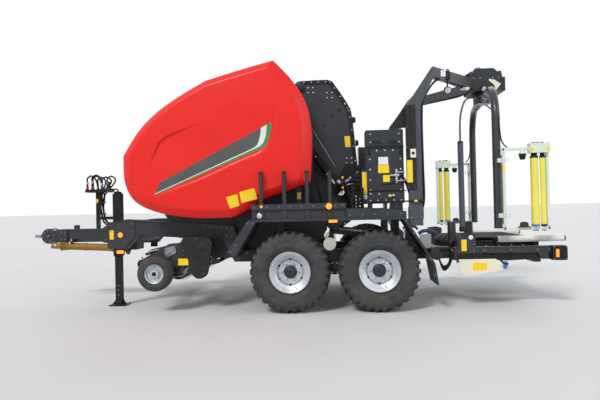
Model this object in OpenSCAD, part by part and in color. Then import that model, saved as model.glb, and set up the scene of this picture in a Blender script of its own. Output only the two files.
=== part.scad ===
// Round baler with a bale wrapper on one tandem-axle chassis.
// X runs from the towing eye (-) to the wrapping table (+), Y to the right-hand side, Z up from the ground.
// Places along X in the tables below are measured from the middle between the two axles.

/* [Running gear] */
// Place of the tandem's middle along X
tandem_x = 730; // [700:5:750]
// Distance between the two axles
wheelbase = 1030; // [1000:10:1100]
// Outer diameter of a tyre
tyre_od = 945; // [900:5:950]
// Width of a tyre
tyre_w = 500; // [440:10:510]
// Gap between a tyre and the rear beam inside it
tyre_gap = 30; // [25:1:40]
// Seat diameter of a rim
rim_d = 432; // [400:2:440]
// Radius of a wheel spindle
spindle_r = 40; // [30:1:50]
// Diameter of a wheel's circle of studs
stud_circle_d = 205; // [180:5:230]
// Radius of a gauge wheel
gauge_wheel_r = 205; // [190:5:215]

/* [Chassis] */
// Width of a front chassis beam
beam_w = 90; // [70:5:95]
// Width of a rear chassis beam
low_beam_w = 75; // [60:5:80]
// Height of the drawbar tube
drawbar_h = 170; // [140:5:190]
// Width of the drawbar tube
drawbar_w = 130; // [100:5:160]
// Height of the drawbar's middle above the ground
drawbar_z = 894; // [870:2:920]
// Distance of the towing eye's bore in front of the tandem's middle
eye_x = 4130; // [4100:5:4170]
// Radius of the towing eye's bore
eye_bore_r = 25; // [20:1:30]
// Thickness of the towing eye
eye_t = 40; // [30:1:50]
// Radius of the drive shaft yoke's bore
yoke_bore_r = 17.5; // [15:0.5:22]
// Side of the jack's square leg
jack_leg_w = 80; // [60:2:84]
// How far the jack's leg can be raised
jack_travel = 330; // [250:10:340]

/* [Bale chamber] */
// Inside width of the bale chamber
chamber_w = 1220; // [1180:10:1220]
// Thickness of a chamber side wall
wall_t = 30; // [20:2:34]
// Radius of a chamber roller
chamber_roller_r = 60; // [40:2:70]
// How far a side cover's face stands out from the chamber's wall
cover_reach_out = 545; // [500:5:550]
// Width of the bevel round a side cover
cover_bevel = 95; // [60:5:110]
// Thickness of a side cover
cover_t = 8; // [4:1:12]

/* [Pickup] */
// Half of the pickup's width inside its side plates
pickup_half_w = 940; // [900:5:950]
// Depth of the cover over the pickup's drive
drive_cover_w = 90; // [70:5:95]
// Radius that the tine tips reach
tine_tip_r = 176; // [165:1:178]
// Radius of the stripper bands outside
band_r = 146; // [130:1:150]
// Number of stripper bands
band_count = 29; // [15:2:35]
// Radius that the feed rotor's teeth reach
rotor_tip_r = 222; // [200:1:226]

/* [Wrapper] */
// Distance from the tandem's middle to the wrapping axis
wrap_x = 2030; // [2010:5:2050]
// Radius of the wrapping bow's tube
bow_tube_r = 45; // [35:1:48]
// Distance of the bow's tubes from the wrapping axis
bow_r = 1065; // [1050:5:1075]
// Length of a film roller
film_roller_len = 790; // [700:10:795]
// Radius of the larger film roller
film_roller_big_r = 44; // [36:1:45]
// Radius of the smaller film roller
film_roller_small_r = 30; // [24:1:32]
// Radius of a belt roller of the table
table_roller_r = 75; // [60:1:80]
// Radius of a bale side roller
side_roller_r = 35; // [25:1:40]

/* [Fits] */
// Gap between flat faces that move past each other
run_gap = 5; // [5:0.5:8]
// Radial clearance of a pin or shaft in its bore
pin_gap = 0.1; // [0.05:0.01:0.1]
// Gap between curved pieces that are seated on each other
seat_gap = 0.3; // [0.2:0.1:0.5]

/* [Hidden] */
$fn = 64;
frame_grey = "#464a4f";
dark_grey = "#33363a";
black = "#1c1d1f";
steel_grey = "#555c66";
cover_red = "#e0241f";
silver = "#c4c8cc";
film_yellow = "#efe24e";
pale_green = "#d5e6d0";
amber = "#f0a020";

wheel_r = tyre_od / 2;
chamber_half = chamber_w / 2;
wall_out = chamber_half + wall_t;
frame_half_w = wall_out + 20;
beam_in = frame_half_w - beam_w;
low_beam_in = frame_half_w + 5;
low_beam_out = low_beam_in + low_beam_w;
tyre_in = low_beam_out + tyre_gap;
tyre_y = tyre_in + tyre_w / 2;

// Upper outline of the front chassis beams, then the lower one: x, z
beam_top = [[-2870, 1085], [-2490, 1100], [-1519, 1035], [-1240, 1010]];
beam_bottom = [[-1270, 830], [-1523, 851], [-2491, 905], [-2640, 742], [-2870, 742]];
// Rear side beams: height of the underside and of the top, front and rear end
low_beam_z = [560, 700];
low_beam_x = [-1240, 1400];
bogie_h = 130;
bogie_hub_r = 85;
jack_x = -2800;
jack_y = -beam_in + 55;
// Drive shaft: front end, yoke's nose from there, and rear end of the long stretch
shaft_front = [-3760, -150, 760];
shaft_nose = [-120, -20, 8];
shaft_back = [-3010, -20, 712];
shaft_r = 48;
// Hoses: x and y of each coupler at the rack, then the height of its top
hose_rows = [
    [-3400, -90, 1640], [-3330, -90, 1650], [-3400, 90, 1645], [-3330, 90, 1630], [-3190, -90, 1620], [-3190, 90, 1640]
];

// Side cover outline by its stretches: x, z
cover_rear = [[-669, 2962], [-460, 2731], [-300, 2465], [-235, 2180], [-236, 1800], [-264, 1509]];
cover_foot = [[-264, 1509], [-835, 1317], [-985, 1212], [-1186, 1118]];
cover_belly = [[-1186, 1118], [-1650, 1122], [-2080, 1195], [-2360, 1335], [-2480, 1560], [-2495, 1880]];
cover_front = [[-2495, 1880], [-2300, 2175], [-2060, 2405], [-1760, 2600], [-1480, 2750]];
cover_top = [[-1480, 2750], [-1061, 2865], [-669, 2962]];
cover_steps = 4;
cover_face_y = wall_out + cover_reach_out;
cover_wall_in = wall_out + 180;
cover_bevel_in = cover_face_y - cover_bevel;
cover_middle = [-1330, 2010];
cover_reach = 1000;
cover_pin_end = wall_out + 240;
cover_pivot = [-1000, 2600];
cover_pin_r = 22;

// Fixed chamber side outline: x, z
chamber_outline = [
    [-468, 2790], [-690, 2800], [-1061, 2745], [-1480, 2630], [-1760, 2480], [-2060, 2280],
    [-2300, 1980], [-2330, 1600], [-2240, 1300], [-2080, 1072.6], beam_top[2], beam_top[3],
    [-1240, 560], [-300, 560], [-80, 940], [-468, 2660]
];
// Tailgate outline: x, z
tailgate_pivot = [-380, 2735];
tailgate_pin_r = 30;
tailgate_nose_r = 72;
tailgate_outline = concat(arc(tailgate_pivot, tailgate_nose_r, 195, 90, 6), [
    [-40, 2814], [22, 2793], [203, 2511], [261, 2346],
    [310, 1794], [351, 1418], [290, 1120], [110, 960], [-68, 948]
]);
// Tailgate rams: foot on the chamber, eye on the tailgate
ram_foot = [-550, 2300];
ram_eye = [100, 1400];
ram_y = [wall_out + 12, wall_out + 84];
ram_barrel_r = 34;
ram_rod_r = 24;
ram_barrel_len = 820;
ram_len = norm(ram_eye - ram_foot);
ram_dir = (ram_eye - ram_foot) / ram_len;

// Middles of the rollers in the chamber and in the tailgate: x, z
chamber_roller_at = [
    [-1080, 700], [-860, 660], [-560, 700], [-1560, 1200], [-1620, 1500], [-1560, 1820], [-1360, 2120], [-1040, 2380]
];
tailgate_roller_at = [[-40, 2680], [150, 2330], [215, 1790], [235, 1420], [105, 1095]];

// Pickup: rotor axis, reel axis, crop roller axis and gauge wheel axis
rotor_axis = [-1560, 770];
reel_axis = [-1900, 520];
crop_axis = [-2352, 572];
gauge_axis = [-2110, 478];
gauge_w = 170;
pickup_plate_t = 20;
pickup_plate_y = [pickup_half_w + 15, pickup_half_w + 15 + pickup_plate_t];
gauge_y = pickup_plate_y[1] + drive_cover_w + gauge_w / 2;
rotor_half_w = beam_in - 25;
rotor_shaft_r = 30;
rotor_disc_count = 12;
pickup_pivot_r = 42;
tine_bar_count = 5;
tine_r = 4;

// Pickup side plate: round the rotor's shaft, under the reel, round the gauge wheel's axle and the crop roller
pickup_outline = concat(
    arc(rotor_axis, 72, 80, -100, 8), arc(reel_axis, 68, -50, -110, 3), arc(gauge_axis, 50, -90, -230, 6),
    [[-2040, 645]], arc(crop_axis, 42, -60, -250, 6), [[-1990, 815]]
);

// Film rack: x and z of the rail, the floor and the stakes
rack_x = [-940, 140];
rack_shelf_x = 826;
rack_rail_z = [1201, 1259];
rack_floor_z = [1060, 1090];
rack_y = [low_beam_out + 5, low_beam_out + 522];
stake_r = 24;
stake_y = rack_y[1] - stake_r;
stake_top = 1636;
stake_x = [-825, -557, -294, -35];

cabinet_split_z = 1918;
cabinet_x = [400, 830];
cabinet_y = [low_beam_out + 30, low_beam_out + 355];
lid_hinge = [cabinet_y[0] - 14, cabinet_split_z];
lid_hinge_r = 8;
cabinet_z = [1245, 2097];
cabinet_wall = 12;

// Arch: x, y, z of its shoulder, elbow and nose on the right, and the depth and width of its tube
arch_shoulder = [955, low_beam_out + 360, 2370];
arch_elbow = [1195, low_beam_out + 280, 2765];
arch_nose = [1840, 200, 2790];
arch_w = 96;

bow_turn = -7;
bow_top_z = 2600;
bow_bend_r = 400;
bow_foot_z = 930;
// Film dispenser: places from the wrapping axis, near side at rest
disp_y = -1152;
disp_x = [-82, 400];
disp_z = [924, 1828];
disp_bar = 26;
big_roller_x = 258;
small_roller_x = 350;
film_roller_z = 950;
// Stop arms that turn with the bow
stop_arm = [-540, -1060];
stop_arm_z = [900, 1940];
stop_arm_r = 31;
// Radius from the wrapping axis that all that turns there keeps inside, and the arch foot's rear end by it
turn_clear_r = 1260;
arch_foot_x = wrap_x - sqrt(pow(turn_clear_r, 2) - pow(low_beam_in, 2));

table_pivot = [2440, 610];
table_rollers_x = [1560, 2400];
table_roller_z = 715;
table_half_w = 640;
side_roller_y = 800;
side_roller_z = 785;
side_roller_x = [1950, 2740];
fork_pivot = [1330, 640];
hood_hinge = [-2262, 1975];
hub_pin_r = 60;

// Everything below is placed from the middle between the two axles
module at_axles() {
    translate([tandem_x, 0, 0]) children();
}

// The same thing on the left and on the right
module both_sides() {
    children();
    mirror([0, 1, 0]) children();
}

// Plate with an outline in x and z, between two places along Y
module plate(outline, y0, y1) {
    translate([0, y1, 0]) rotate([90, 0, 0]) linear_extrude(y1 - y0) polygon(outline);
}

// Box between two corners
module block(low, high) {
    translate(low) cube(high - low);
}

// Shaft along Y through a place in x and z
module shaft_y(at, r, y0, y1) {
    translate([at[0], y0, at[1]]) rotate([-90, 0, 0]) cylinder(r = r, h = y1 - y0);
}

// Round bar from one point to another
module rod(from, to, r) {
    along = to - from;
    len = norm(along);
    translate(from) rotate([0, acos(along[2] / len), atan2(along[1], along[0])]) cylinder(r = r, h = len);
}

// Tube with a number of sides along a list of points, none of whose stretches runs along ref
module sweep(path, r, sides, ref) {
    last = len(path) - 1;
    rings = [
        for (i = [0 : last])
            let (ahead = path[min(i + 1, last)] - path[max(i - 1, 0)],
                 t = ahead / norm(ahead),
                 side = cross(t, ref) / norm(cross(t, ref)),
                 up = cross(side, t))
            [for (k = [0 : sides - 1]) path[i] + r * (cos(360 * k / sides) * side + sin(360 * k / sides) * up)]
    ];
    rings_solid(rings, path[0], path[last]);
}

// Flat bar with round ends in x and z, between two places along Y
module link(from, to, w, y0, y1) {
    a = atan2(to[1] - from[1], to[0] - from[0]);
    plate(concat(arc(from, w / 2, a + 90, a + 270, 10), arc(to, w / 2, a - 90, a + 90, 10)), y0, y1);
}

// Points on a smooth curve through a list in the plane or in space, without its last point
function curve(p, n) = [
    for (i = [0 : len(p) - 2], k = [0 : n - 1])
        let (t = k / n,
             a = p[max(i - 1, 0)], b = p[i], c = p[i + 1], d = p[min(i + 2, len(p) - 1)])
        0.5 * (2 * b + (c - a) * t + (2 * a - 5 * b + 4 * c - d) * t * t + (3 * b - a - 3 * c + d) * t * t * t)
];
// The same with its last point
function curve3(p, n) = concat(curve(p, n), [p[len(p) - 1]]);
// Outline moved inwards by a distance, for points listed clockwise seen from the left-hand side
function inset(p, d) = [
    for (i = [0 : len(p) - 1])
        let (n = len(p),
             a = p[(i + n - 1) % n], b = p[i], c = p[(i + 1) % n],
             u = (b - a) / norm(b - a), v = (c - b) / norm(c - b),
             m = [u[1] + v[1], -u[0] - v[0]], s = norm(m))
        b + m / s * d / (s / 2)
];
// Points of an arc
function arc(c, r, a0, a1, n) = [for (i = [0 : n]) c + r * [cos(a0 + (a1 - a0) * i / n), sin(a0 + (a1 - a0) * i / n)]];

cover_outline = concat(
    curve(cover_rear, cover_steps), curve(cover_foot, 1), curve(cover_belly, cover_steps),
    curve(cover_front, cover_steps), curve(cover_top, cover_steps)
);

// Ring of a left cover at a distance from the middle plane
function cover_ring(p, y) = [for (q = p) [q[0], -y, q[1]]];
// How far a cover's face falls back towards its upper and lower edge
function cover_fall(z) = 0.03 * max(0, z - 2000) + 0.08 * max(0, 1700 - z);
// Edge of a cover's face: an outline drawn in by the bevel, towards a middle point
function cover_face_ring(p, y) = [
    for (q = p) let (e = q + (cover_middle - q) * cover_bevel / cover_reach) [e[0], cover_fall(e[1]) - y, e[1]]
];

// Shell through rings of equal length, each a list of points in order, closed by a fan at each end
module rings_solid(rings, first_tip, last_tip) {
    n = len(rings[0]);
    m = len(rings);
    polyhedron(
        points = concat([for (ring = rings) each ring], [first_tip, last_tip]),
        faces = concat(
            [for (i = [0 : n - 1]) [m * n, (i + 1) % n, i]],
            [for (k = [0 : m - 2], i = [0 : n - 1]) [k * n + i, (k + 1) * n + (i + 1) % n, (k + 1) * n + i]],
            [for (k = [0 : m - 2], i = [0 : n - 1]) [k * n + i, k * n + (i + 1) % n, (k + 1) * n + (i + 1) % n]],
            [for (i = [0 : n - 1]) [m * n + 1, (m - 1) * n + i, (m - 1) * n + (i + 1) % n]]
        )
    );
}

module tyre() {
    crown = wheel_r;
    half = tyre_w / 2;
    seat = rim_d / 2 + seat_gap;
    // Half of the section: radius, distance from the middle
    section = [
        [seat, half - 53.6], [seat + 28, half - 53.6], [seat + 62, half - 8], [seat + 130, half],
        [seat + 195, half - 14], [crown - 22, half - 38], [crown - 6, half - 70], [crown, half - 140]
    ];
    back = [for (i = [len(section) - 1 : -1 : 0]) [section[i][0], -section[i][1]]];
    rotate([90, 0, 0]) rotate_extrude() polygon(concat(section, back));
}

// Rim with its face towards -Y
module rim() {
    seat = rim_d / 2;
    half = tyre_w / 2 - 50;
    rotate([90, 0, 0]) difference() {
        union() {
            // Barrel with its flanges
            rotate_extrude() polygon([
                [seat - 14, -half], [seat + 21, -half - 12], [seat + 25, -half - 5], [seat, -half + 3],
                [seat, half - 3], [seat + 25, half + 5], [seat + 21, half + 12], [seat - 14, half]
            ]);
            // Dished wheel disc and hub
            rotate_extrude() polygon([
                [0, 60], [0, 152], [46, 152], [58, 140], [58, 112], [135, 112], [160, 150], [seat - 12, 168],
                [seat - 12, 154], [166, 138], [142, 98], [80, 98], [80, 30], [spindle_r + 6, 10], [0, 10]
            ]);
        }
        translate([0, 0, -1]) cylinder(r = spindle_r + pin_gap, h = 121);
        for (i = [0 : 5]) rotate([0, 0, 60 * i + 30]) translate([150, 0, 0]) cylinder(r = 13, h = 200);
    }
    // Studs
    rotate([90, 0, 0]) for (i = [0 : 5]) rotate([0, 0, 60 * i])
        translate([stud_circle_d / 2, 0, 105]) cylinder(r = 13, h = 22, $fn = 6);
}

// Places a wheel: end is -1 at the front axle and 1 at the rear, side is -1 on the left and 1 on the right
module wheel_place(end, side) {
    at_axles() translate([end * wheelbase / 2, side * tyre_y, wheel_r])
        if (side < 0) children(); else mirror([0, 1, 0]) children();
}

module tyre_at(end, side) {
    color(dark_grey) wheel_place(end, side) tyre();
}

module rim_at(end, side) {
    color(silver) wheel_place(end, side) rim();
}

module axle_beams() {
    color(dark_grey) at_axles() {
        both_sides() {
            // Bogie beam with its two spindles
            link([-wheelbase / 2, wheel_r], [wheelbase / 2, wheel_r], bogie_h, -tyre_in + 12, -low_beam_in + 5);
            for (x = [-wheelbase / 2, wheelbase / 2])
                shaft_y([x, wheel_r], spindle_r, -tyre_y - 110, -tyre_in + 30);
            shaft_y([0, wheel_r], bogie_hub_r, -tyre_in + 2, -low_beam_in + 10);
        }
        shaft_y([0, wheel_r], 60, -low_beam_in, low_beam_in);
    }
}

module chassis() {
    color(frame_grey) at_axles() {
        both_sides() {
            plate(concat(beam_top, beam_bottom), -frame_half_w, -beam_in);
            // Step from the front beam out to the rear beam
            plate([[-1380, 1024], [-1240, 1010], [-1140, 680], [-1140, low_beam_z[0]], [-1240, low_beam_z[0]],
                   [-1380, 838]], -low_beam_out, -frame_half_w);
            block([low_beam_x[0], -low_beam_out, low_beam_z[0]], [low_beam_x[1], -low_beam_in, low_beam_z[1]]);
            // Saddle under the rear beam for the bogie pivot
            difference() {
                block([-120, -low_beam_out, wheel_r + bogie_h / 2], [120, -low_beam_in, low_beam_z[0]]);
                shaft_y([0, wheel_r], bogie_hub_r + seat_gap, -low_beam_out - 1, -low_beam_in + 1);
            }
            // Lug and pin of the transfer fork
            block([fork_pivot[0] - 40, -595, low_beam_z[0]], [fork_pivot[0] + 40, -570, fork_pivot[1] + 35]);
            shaft_y(fork_pivot, 15, -595, -510);
        }
        // Front plate, cross members and rear cross member
        block([-2890, -frame_half_w, 760], [-2870, frame_half_w, 1070]);
        block([-2690, -beam_in, 800], [-2590, beam_in, 1050]);
        block([1250, -low_beam_in, low_beam_z[0]], [1400, low_beam_in, 598]);
    }
}

module drawbar() {
    color(frame_grey) at_axles() {
        block([-3860, -drawbar_w / 2, drawbar_z - drawbar_h / 2], [-2890, drawbar_w / 2, drawbar_z + drawbar_h / 2]);
        both_sides() {
            // Cheek plates at the rear
            plate([[-3190, 790], [-2890, 770], [-2890, 1060], [-3080, 1060], [-3190, 1000]],
                -drawbar_w / 2 - 25, -drawbar_w / 2);
            // Toothed plates that the hitch is bolted between
            shaft_y([-3966, drawbar_z], 105, -drawbar_w / 2 - 20, -drawbar_w / 2 + 10);
            block([-3966, -drawbar_w / 2 - 20, drawbar_z - 80], [-3700, -drawbar_w / 2 + 10, drawbar_z + 80]);
        }
        // Hook that the free end of the drive shaft hangs in
        difference() {
            union() {
                block([-3620, -165, 830], [-3580, -drawbar_w / 2, 850]);
                block([-3620, -165, 786], [-3580, -140, 850]);
            }
            rod(shaft_front, shaft_back, shaft_r + seat_gap);
        }
    }
}

module towing_eye() {
    color(steel_grey) at_axles() difference() {
        union() {
            shaft_y([-3966, drawbar_z], 96, -drawbar_w / 2 + 10, drawbar_w / 2 - 10);
            block([30 - eye_x, -45, drawbar_z - 45], [-3966, 45, drawbar_z + 45]);
            translate([-eye_x, 0, drawbar_z - eye_t / 2]) cylinder(r = 68, h = eye_t);
        }
        translate([-eye_x, 0, drawbar_z - eye_t]) cylinder(r = eye_bore_r, h = 2 * eye_t);
        block([-eye_x - 70, -80, drawbar_z + eye_t / 2], [60 - eye_x, 80, drawbar_z + 100]);
        block([-eye_x - 70, -80, drawbar_z - 100], [60 - eye_x, 80, drawbar_z - eye_t / 2]);
    }
}

module jack_sleeve() {
    half = jack_leg_w / 2 + 12;
    color(black) at_axles() difference() {
        union() {
            block([jack_x - half, jack_y - half, 640], [jack_x + half, jack_y + half, 1450]);
            block([jack_x - half, -beam_in, 860], [jack_x + half, jack_y, 1000]);
        }
        block([jack_x - jack_leg_w / 2 - 0.5, jack_y - jack_leg_w / 2 - 0.5, 600],
            [jack_x + jack_leg_w / 2 + 0.5, jack_y + jack_leg_w / 2 + 0.5, 1430]);
    }
}

module jack_leg() {
    half = jack_leg_w / 2;
    color(black) at_axles() {
        block([jack_x - half, jack_y - half, 0], [jack_x + half, jack_y + half, 1430 - jack_travel - 10]);
        block([jack_x - 110, jack_y - 90, 0], [jack_x + 110, jack_y + 90, 15]);
    }
}

module gearbox() {
    color(dark_grey) at_axles() {
        block([-2860, -150, 690], [-2700, 150, 759]);
        block([-2860, -150, 759], [-2700, 150, 1060]);
        rod([-2700, 0, 900], [-2690, 0, 900], 60);
        rod([-2960, 0, 770 - 60], [-2850, 0, 770 - 60], 45);
    }
}

module drive_shaft() {
    color("#7a4a2a") at_axles() {
        rod(shaft_front, shaft_back, shaft_r);
        rod(shaft_back, [-2985, 0, 710], 38);
        rod([-2992, 0, 710], [-2960 - seat_gap, 0, 710], 38);
        difference() {
            rod(shaft_front + shaft_nose, shaft_front, 40);
            rod(shaft_front + 1.01 * shaft_nose, shaft_front + shaft_nose / 3, yoke_bore_r);
        }
    }
}

module hose_rack() {
    color(black) at_axles() {
        block([-3310, -30, drawbar_z + drawbar_h / 2], [-3270, 30, 1530]);
        block([-3310, -30, 1110], [-3020, 30, 1150]);
        block([-3420, -120, 1490], [-3100, 120, 1530]);
    }
}

module hoses() {
    color(black) at_axles() for (h = hose_rows)
        translate([h[0], h[1], 1530]) cylinder(r = 14, h = h[2] - 1530);
}

module chamber_sides() {
    color(dark_grey) at_axles() {
        both_sides() {
            plate(chamber_outline, -wall_out, -chamber_half);
            // Pins for the cover, the tailgate ram and the tailgate
            shaft_y(cover_pivot, cover_pin_r, -cover_pin_end, -wall_out + 5);
            shaft_y(ram_foot, 20, -ram_y[1] - 5, -wall_out + 5);
            // Lug outside the tailgate's wall, set off by a boss
            link([-530, 2690], tailgate_pivot, 100, -wall_out - run_gap - 20, -wall_out - run_gap);
            shaft_y([-530, 2690], 45, -wall_out - run_gap, -wall_out + 5);
        }
        shaft_y(tailgate_pivot, tailgate_pin_r, -wall_out - run_gap - 5, wall_out + run_gap + 5);
        shaft_y(hood_hinge, 10, -chamber_half - 5, chamber_half + 5);
        // Cross tubes between the walls
        for (p = [[-760, 2720], [-1500, 2540], [-2100, 2120], [-2180, 1500]])
            shaft_y(p, 45, -chamber_half - 5, chamber_half + 5);
    }
}

module chamber_rollers() {
    color(silver) at_axles() for (p = chamber_roller_at) {
        shaft_y(p, chamber_roller_r, -chamber_half + 10, chamber_half - 10);
        shaft_y(p, 25, -chamber_half + seat_gap, chamber_half - seat_gap);
    }
}

module net_box() {
    color(black) at_axles() difference() {
        plate([[-2430, 1330], [-2250, 1330], [-2250, 1890], [-2380, 1930], [-2430, 1860]], -chamber_half, chamber_half);
        plate([[-2440, 1345], [-2265, 1345], [-2265, 1870], [-2300, 1880], [-2440, 1835]],
            -chamber_half + 12, chamber_half - 12);
    }
}

module front_hood() {
    arm_y = [-chamber_half + 15, -20, chamber_half - 55];
    half = chamber_half - 10;
    color(black) at_axles() difference() {
        union() {
            plate([[-2470, 1350], [-2440, 1350], [-2440, 1850], [-2390, 1935], [-2316, 2000], [-2330, 2020],
                [-2420, 1955], [-2470, 1865]], -half, half);
            for (y = arm_y) plate(concat([[-2338, 1998], [-2324, 2022]], arc(hood_hinge, 16, 62, -118, 6)), y, y + 40);
        }
        shaft_y(hood_hinge, 10 + pin_gap, -half - 1, half + 1);
    }
}

// Side cover, made on the left: a face, a bevel round it and a wall inwards, closed as one shell
module side_cover() {
    lip = inset(cover_outline, cover_t);
    color(cover_red) at_axles() {
        rings_solid([
            cover_face_ring(lip, cover_face_y - cover_t),
            cover_ring(lip, cover_bevel_in - cover_t / 2),
            cover_ring(lip, cover_wall_in),
            cover_ring(cover_outline, cover_wall_in),
            cover_ring(cover_outline, cover_bevel_in),
            cover_face_ring(cover_outline, cover_face_y)
        ], [cover_middle[0], -cover_face_y + cover_t, cover_middle[1]], [cover_middle[0], -cover_face_y, cover_middle[1]]);
        // Boss that the cover swings on
        difference() {
            shaft_y(cover_pivot, 48, cover_fall(cover_pivot[1]) + cover_t / 2 - cover_face_y, -wall_out - run_gap);
            shaft_y(cover_pivot, cover_pin_r + pin_gap, -cover_pin_end - 1, -wall_out);
        }
    }
}

module tailgate() {
    color(dark_grey) at_axles() {
        difference() {
            plate(tailgate_outline, -wall_out, wall_out);
            plate(concat([[-500, 2770], [-60, 2782], [0, 2765], [172, 2500], [231, 2340], [280, 1790],
                [320, 1415], [262, 1136], [98, 992], [-200, 985], [-560, 2650]]), -chamber_half, chamber_half);
            shaft_y(tailgate_pivot, tailgate_pin_r + pin_gap, -wall_out - 1, wall_out + 1);
        }
        // Lugs for the rams
        both_sides() shaft_y(ram_eye, 55, -ram_y[0] + run_gap, -wall_out + 2);
    }
}

module tailgate_rollers() {
    color(silver) at_axles() for (p = tailgate_roller_at) {
        shaft_y(p, chamber_roller_r - 5, -chamber_half + 10, chamber_half - 10);
        shaft_y(p, 25, -chamber_half + seat_gap, chamber_half - seat_gap);
    }
}

module tailgate_barrels() {
    mid = (ram_y[0] + ram_y[1]) / 2;
    color(black) at_axles() both_sides() difference() {
        union() {
            shaft_y(ram_foot, 42, -ram_y[1], -ram_y[0]);
            rod([ram_foot[0], -mid, ram_foot[1]],
                [ram_foot[0] + ram_dir[0] * ram_barrel_len, -mid, ram_foot[1] + ram_dir[1] * ram_barrel_len], ram_barrel_r);
        }
        shaft_y(ram_foot, 20 + pin_gap, -ram_y[1] - 1, -ram_y[0] + 1);
        rod([ram_foot[0] + ram_dir[0] * 100, -mid, ram_foot[1] + ram_dir[1] * 100],
            [ram_foot[0] + ram_dir[0] * (ram_barrel_len + 1), -mid, ram_foot[1] + ram_dir[1] * (ram_barrel_len + 1)],
            ram_rod_r + pin_gap);
    }
}

module tailgate_rods() {
    mid = (ram_y[0] + ram_y[1]) / 2;
    color(silver) at_axles() both_sides() {
        rod([ram_foot[0] + ram_dir[0] * 110, -mid, ram_foot[1] + ram_dir[1] * 110],
            [ram_eye[0], -mid, ram_eye[1]], ram_rod_r);
        shaft_y(ram_eye, 42, -ram_y[1], -ram_y[0]);
    }
}

module feed_channel() {
    plate_y = [beam_in, beam_in + 30];
    color(dark_grey) at_axles() {
        both_sides() {
            difference() {
                plate([[-1720, 600], [-1290, 600], [-1290, 831.6 - seat_gap], [-1523, 851 - seat_gap],
                       [-1720, 862 - seat_gap]], -plate_y[1], -plate_y[0]);
                shaft_y(rotor_axis, rotor_shaft_r + pin_gap, -plate_y[1] - 1, -plate_y[0] + 1);
            }
            // Stub that the pickup swings on
            shaft_y(rotor_axis, pickup_pivot_r, -pickup_plate_y[1], -plate_y[1]);
        }
        plate(concat(arc(rotor_axis, 252, 262, 325, 12), arc(rotor_axis, 238, 325, 262, 12)), -plate_y[1], plate_y[1]);
    }
}

module feed_rotor() {
    color(steel_grey) at_axles() {
        shaft_y(rotor_axis, rotor_shaft_r, -beam_in - 30 + seat_gap, beam_in + 30 - seat_gap);
        shaft_y(rotor_axis, 90, -rotor_half_w, rotor_half_w);
        for (i = [0 : rotor_disc_count - 1]) {
            y = -rotor_half_w + 30 + i * (2 * rotor_half_w - 60) / (rotor_disc_count - 1);
            for (k = [0 : 3]) translate([rotor_axis[0], y, rotor_axis[1]]) rotate([0, 90 * k + i * 15, 0])
                rotate([90, 0, 0]) translate([0, 0, -6]) linear_extrude(12)
                    polygon([[60, -45], [rotor_tip_r, -14], [rotor_tip_r, 0], [140, 30], [60, 60]]);
        }
    }
}

module pickup_frame() {
    y0 = pickup_plate_y[0];
    y1 = pickup_plate_y[1];
    band_pitch = 2 * pickup_half_w / band_count;
    color(frame_grey) at_axles() {
        both_sides() difference() {
            union() {
                plate(pickup_outline, -y1, -y0);
                shaft_y(gauge_axis, 18, -gauge_y - gauge_w / 2 + 10, -y0);
            }
            shaft_y(rotor_axis, pickup_pivot_r + pin_gap, -y1 - 1, -y0 + 1);
            shaft_y(reel_axis, 25 + pin_gap, -y1 - 1, -y0 + 1);
            shaft_y(crop_axis, 18 + pin_gap, -y1 - 1, -y0 + 1);
        }
        // Cross tube and stripper bands
        shaft_y([-1960, 760], 38, -y0 - 5, y0 + 5);
        for (i = [0 : band_count - 1]) {
            y = -pickup_half_w + (i + 0.5) * band_pitch;
            plate(concat(arc(reel_axis, band_r, 70, 300, 16), arc(reel_axis, band_r - 5, 300, 70, 16)), y - 20, y + 20);
            plate([[-1857, 650], [-1846, 652], [-1842, 716], [-1872, 716]], y - 20, y + 20);
        }
        plate([[-1872, 704], [-1842, 706], [-1930, 768], [-1955, 750]], -y0, y0);
    }
}

module pickup_reel() {
    band_pitch = 2 * pickup_half_w / band_count;
    bar_r = 100;
    color(steel_grey) at_axles() {
        shaft_y(reel_axis, 25, -pickup_half_w - 30, pickup_half_w + 30);
        for (y = [-pickup_half_w + 10, -6, pickup_half_w - 22]) shaft_y(reel_axis, bar_r + 18, y, y + 12);
        for (k = [0 : tine_bar_count - 1]) translate([reel_axis[0], 0, reel_axis[1]]) rotate([0, 360 / tine_bar_count * k, 0]) {
            shaft_y([bar_r, 0], 14, -pickup_half_w + 5, pickup_half_w - 5);
            for (i = [0 : band_count - 2])
                translate([bar_r, -pickup_half_w + (i + 1) * band_pitch, 0]) rotate([0, 90, 0])
                    cylinder(r = tine_r, h = tine_tip_r - bar_r, $fn = 5);
        }
    }
}

module crop_roller() {
    color(black) at_axles() {
        shaft_y(crop_axis, 45, -pickup_half_w, pickup_half_w);
        shaft_y(crop_axis, 18, -pickup_half_w - 30, pickup_half_w + 30);
    }
}

module gauge_wheel(side) {
    color(dark_grey) at_axles() translate([gauge_axis[0], side * gauge_y, gauge_axis[1]]) rotate([90, 0, 0])
        rotate_extrude() polygon([
            [18 + pin_gap, -60], [60, -60], [70, -20], [110, -40], [120, -gauge_w / 2 + 12], [150, -gauge_w / 2],
            [190, -gauge_w / 2 + 12], [gauge_wheel_r, -45], [gauge_wheel_r, 45], [190, gauge_w / 2 - 12],
            [150, gauge_w / 2], [120, gauge_w / 2 - 12], [110, 40], [70, 20], [60, 60], [18 + pin_gap, 60]
        ]);
}

module drive_cover() {
    color(black) at_axles() plate(concat(
        arc([-1745, 815], 85, 200, 95, 6), arc([-1535, 805], 85, 90, -15, 6), arc([-1610, 490], 95, -15, -150, 8),
        [[-1760, 600]]), -pickup_plate_y[1] - drive_cover_w, -pickup_plate_y[1]);
}

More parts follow.
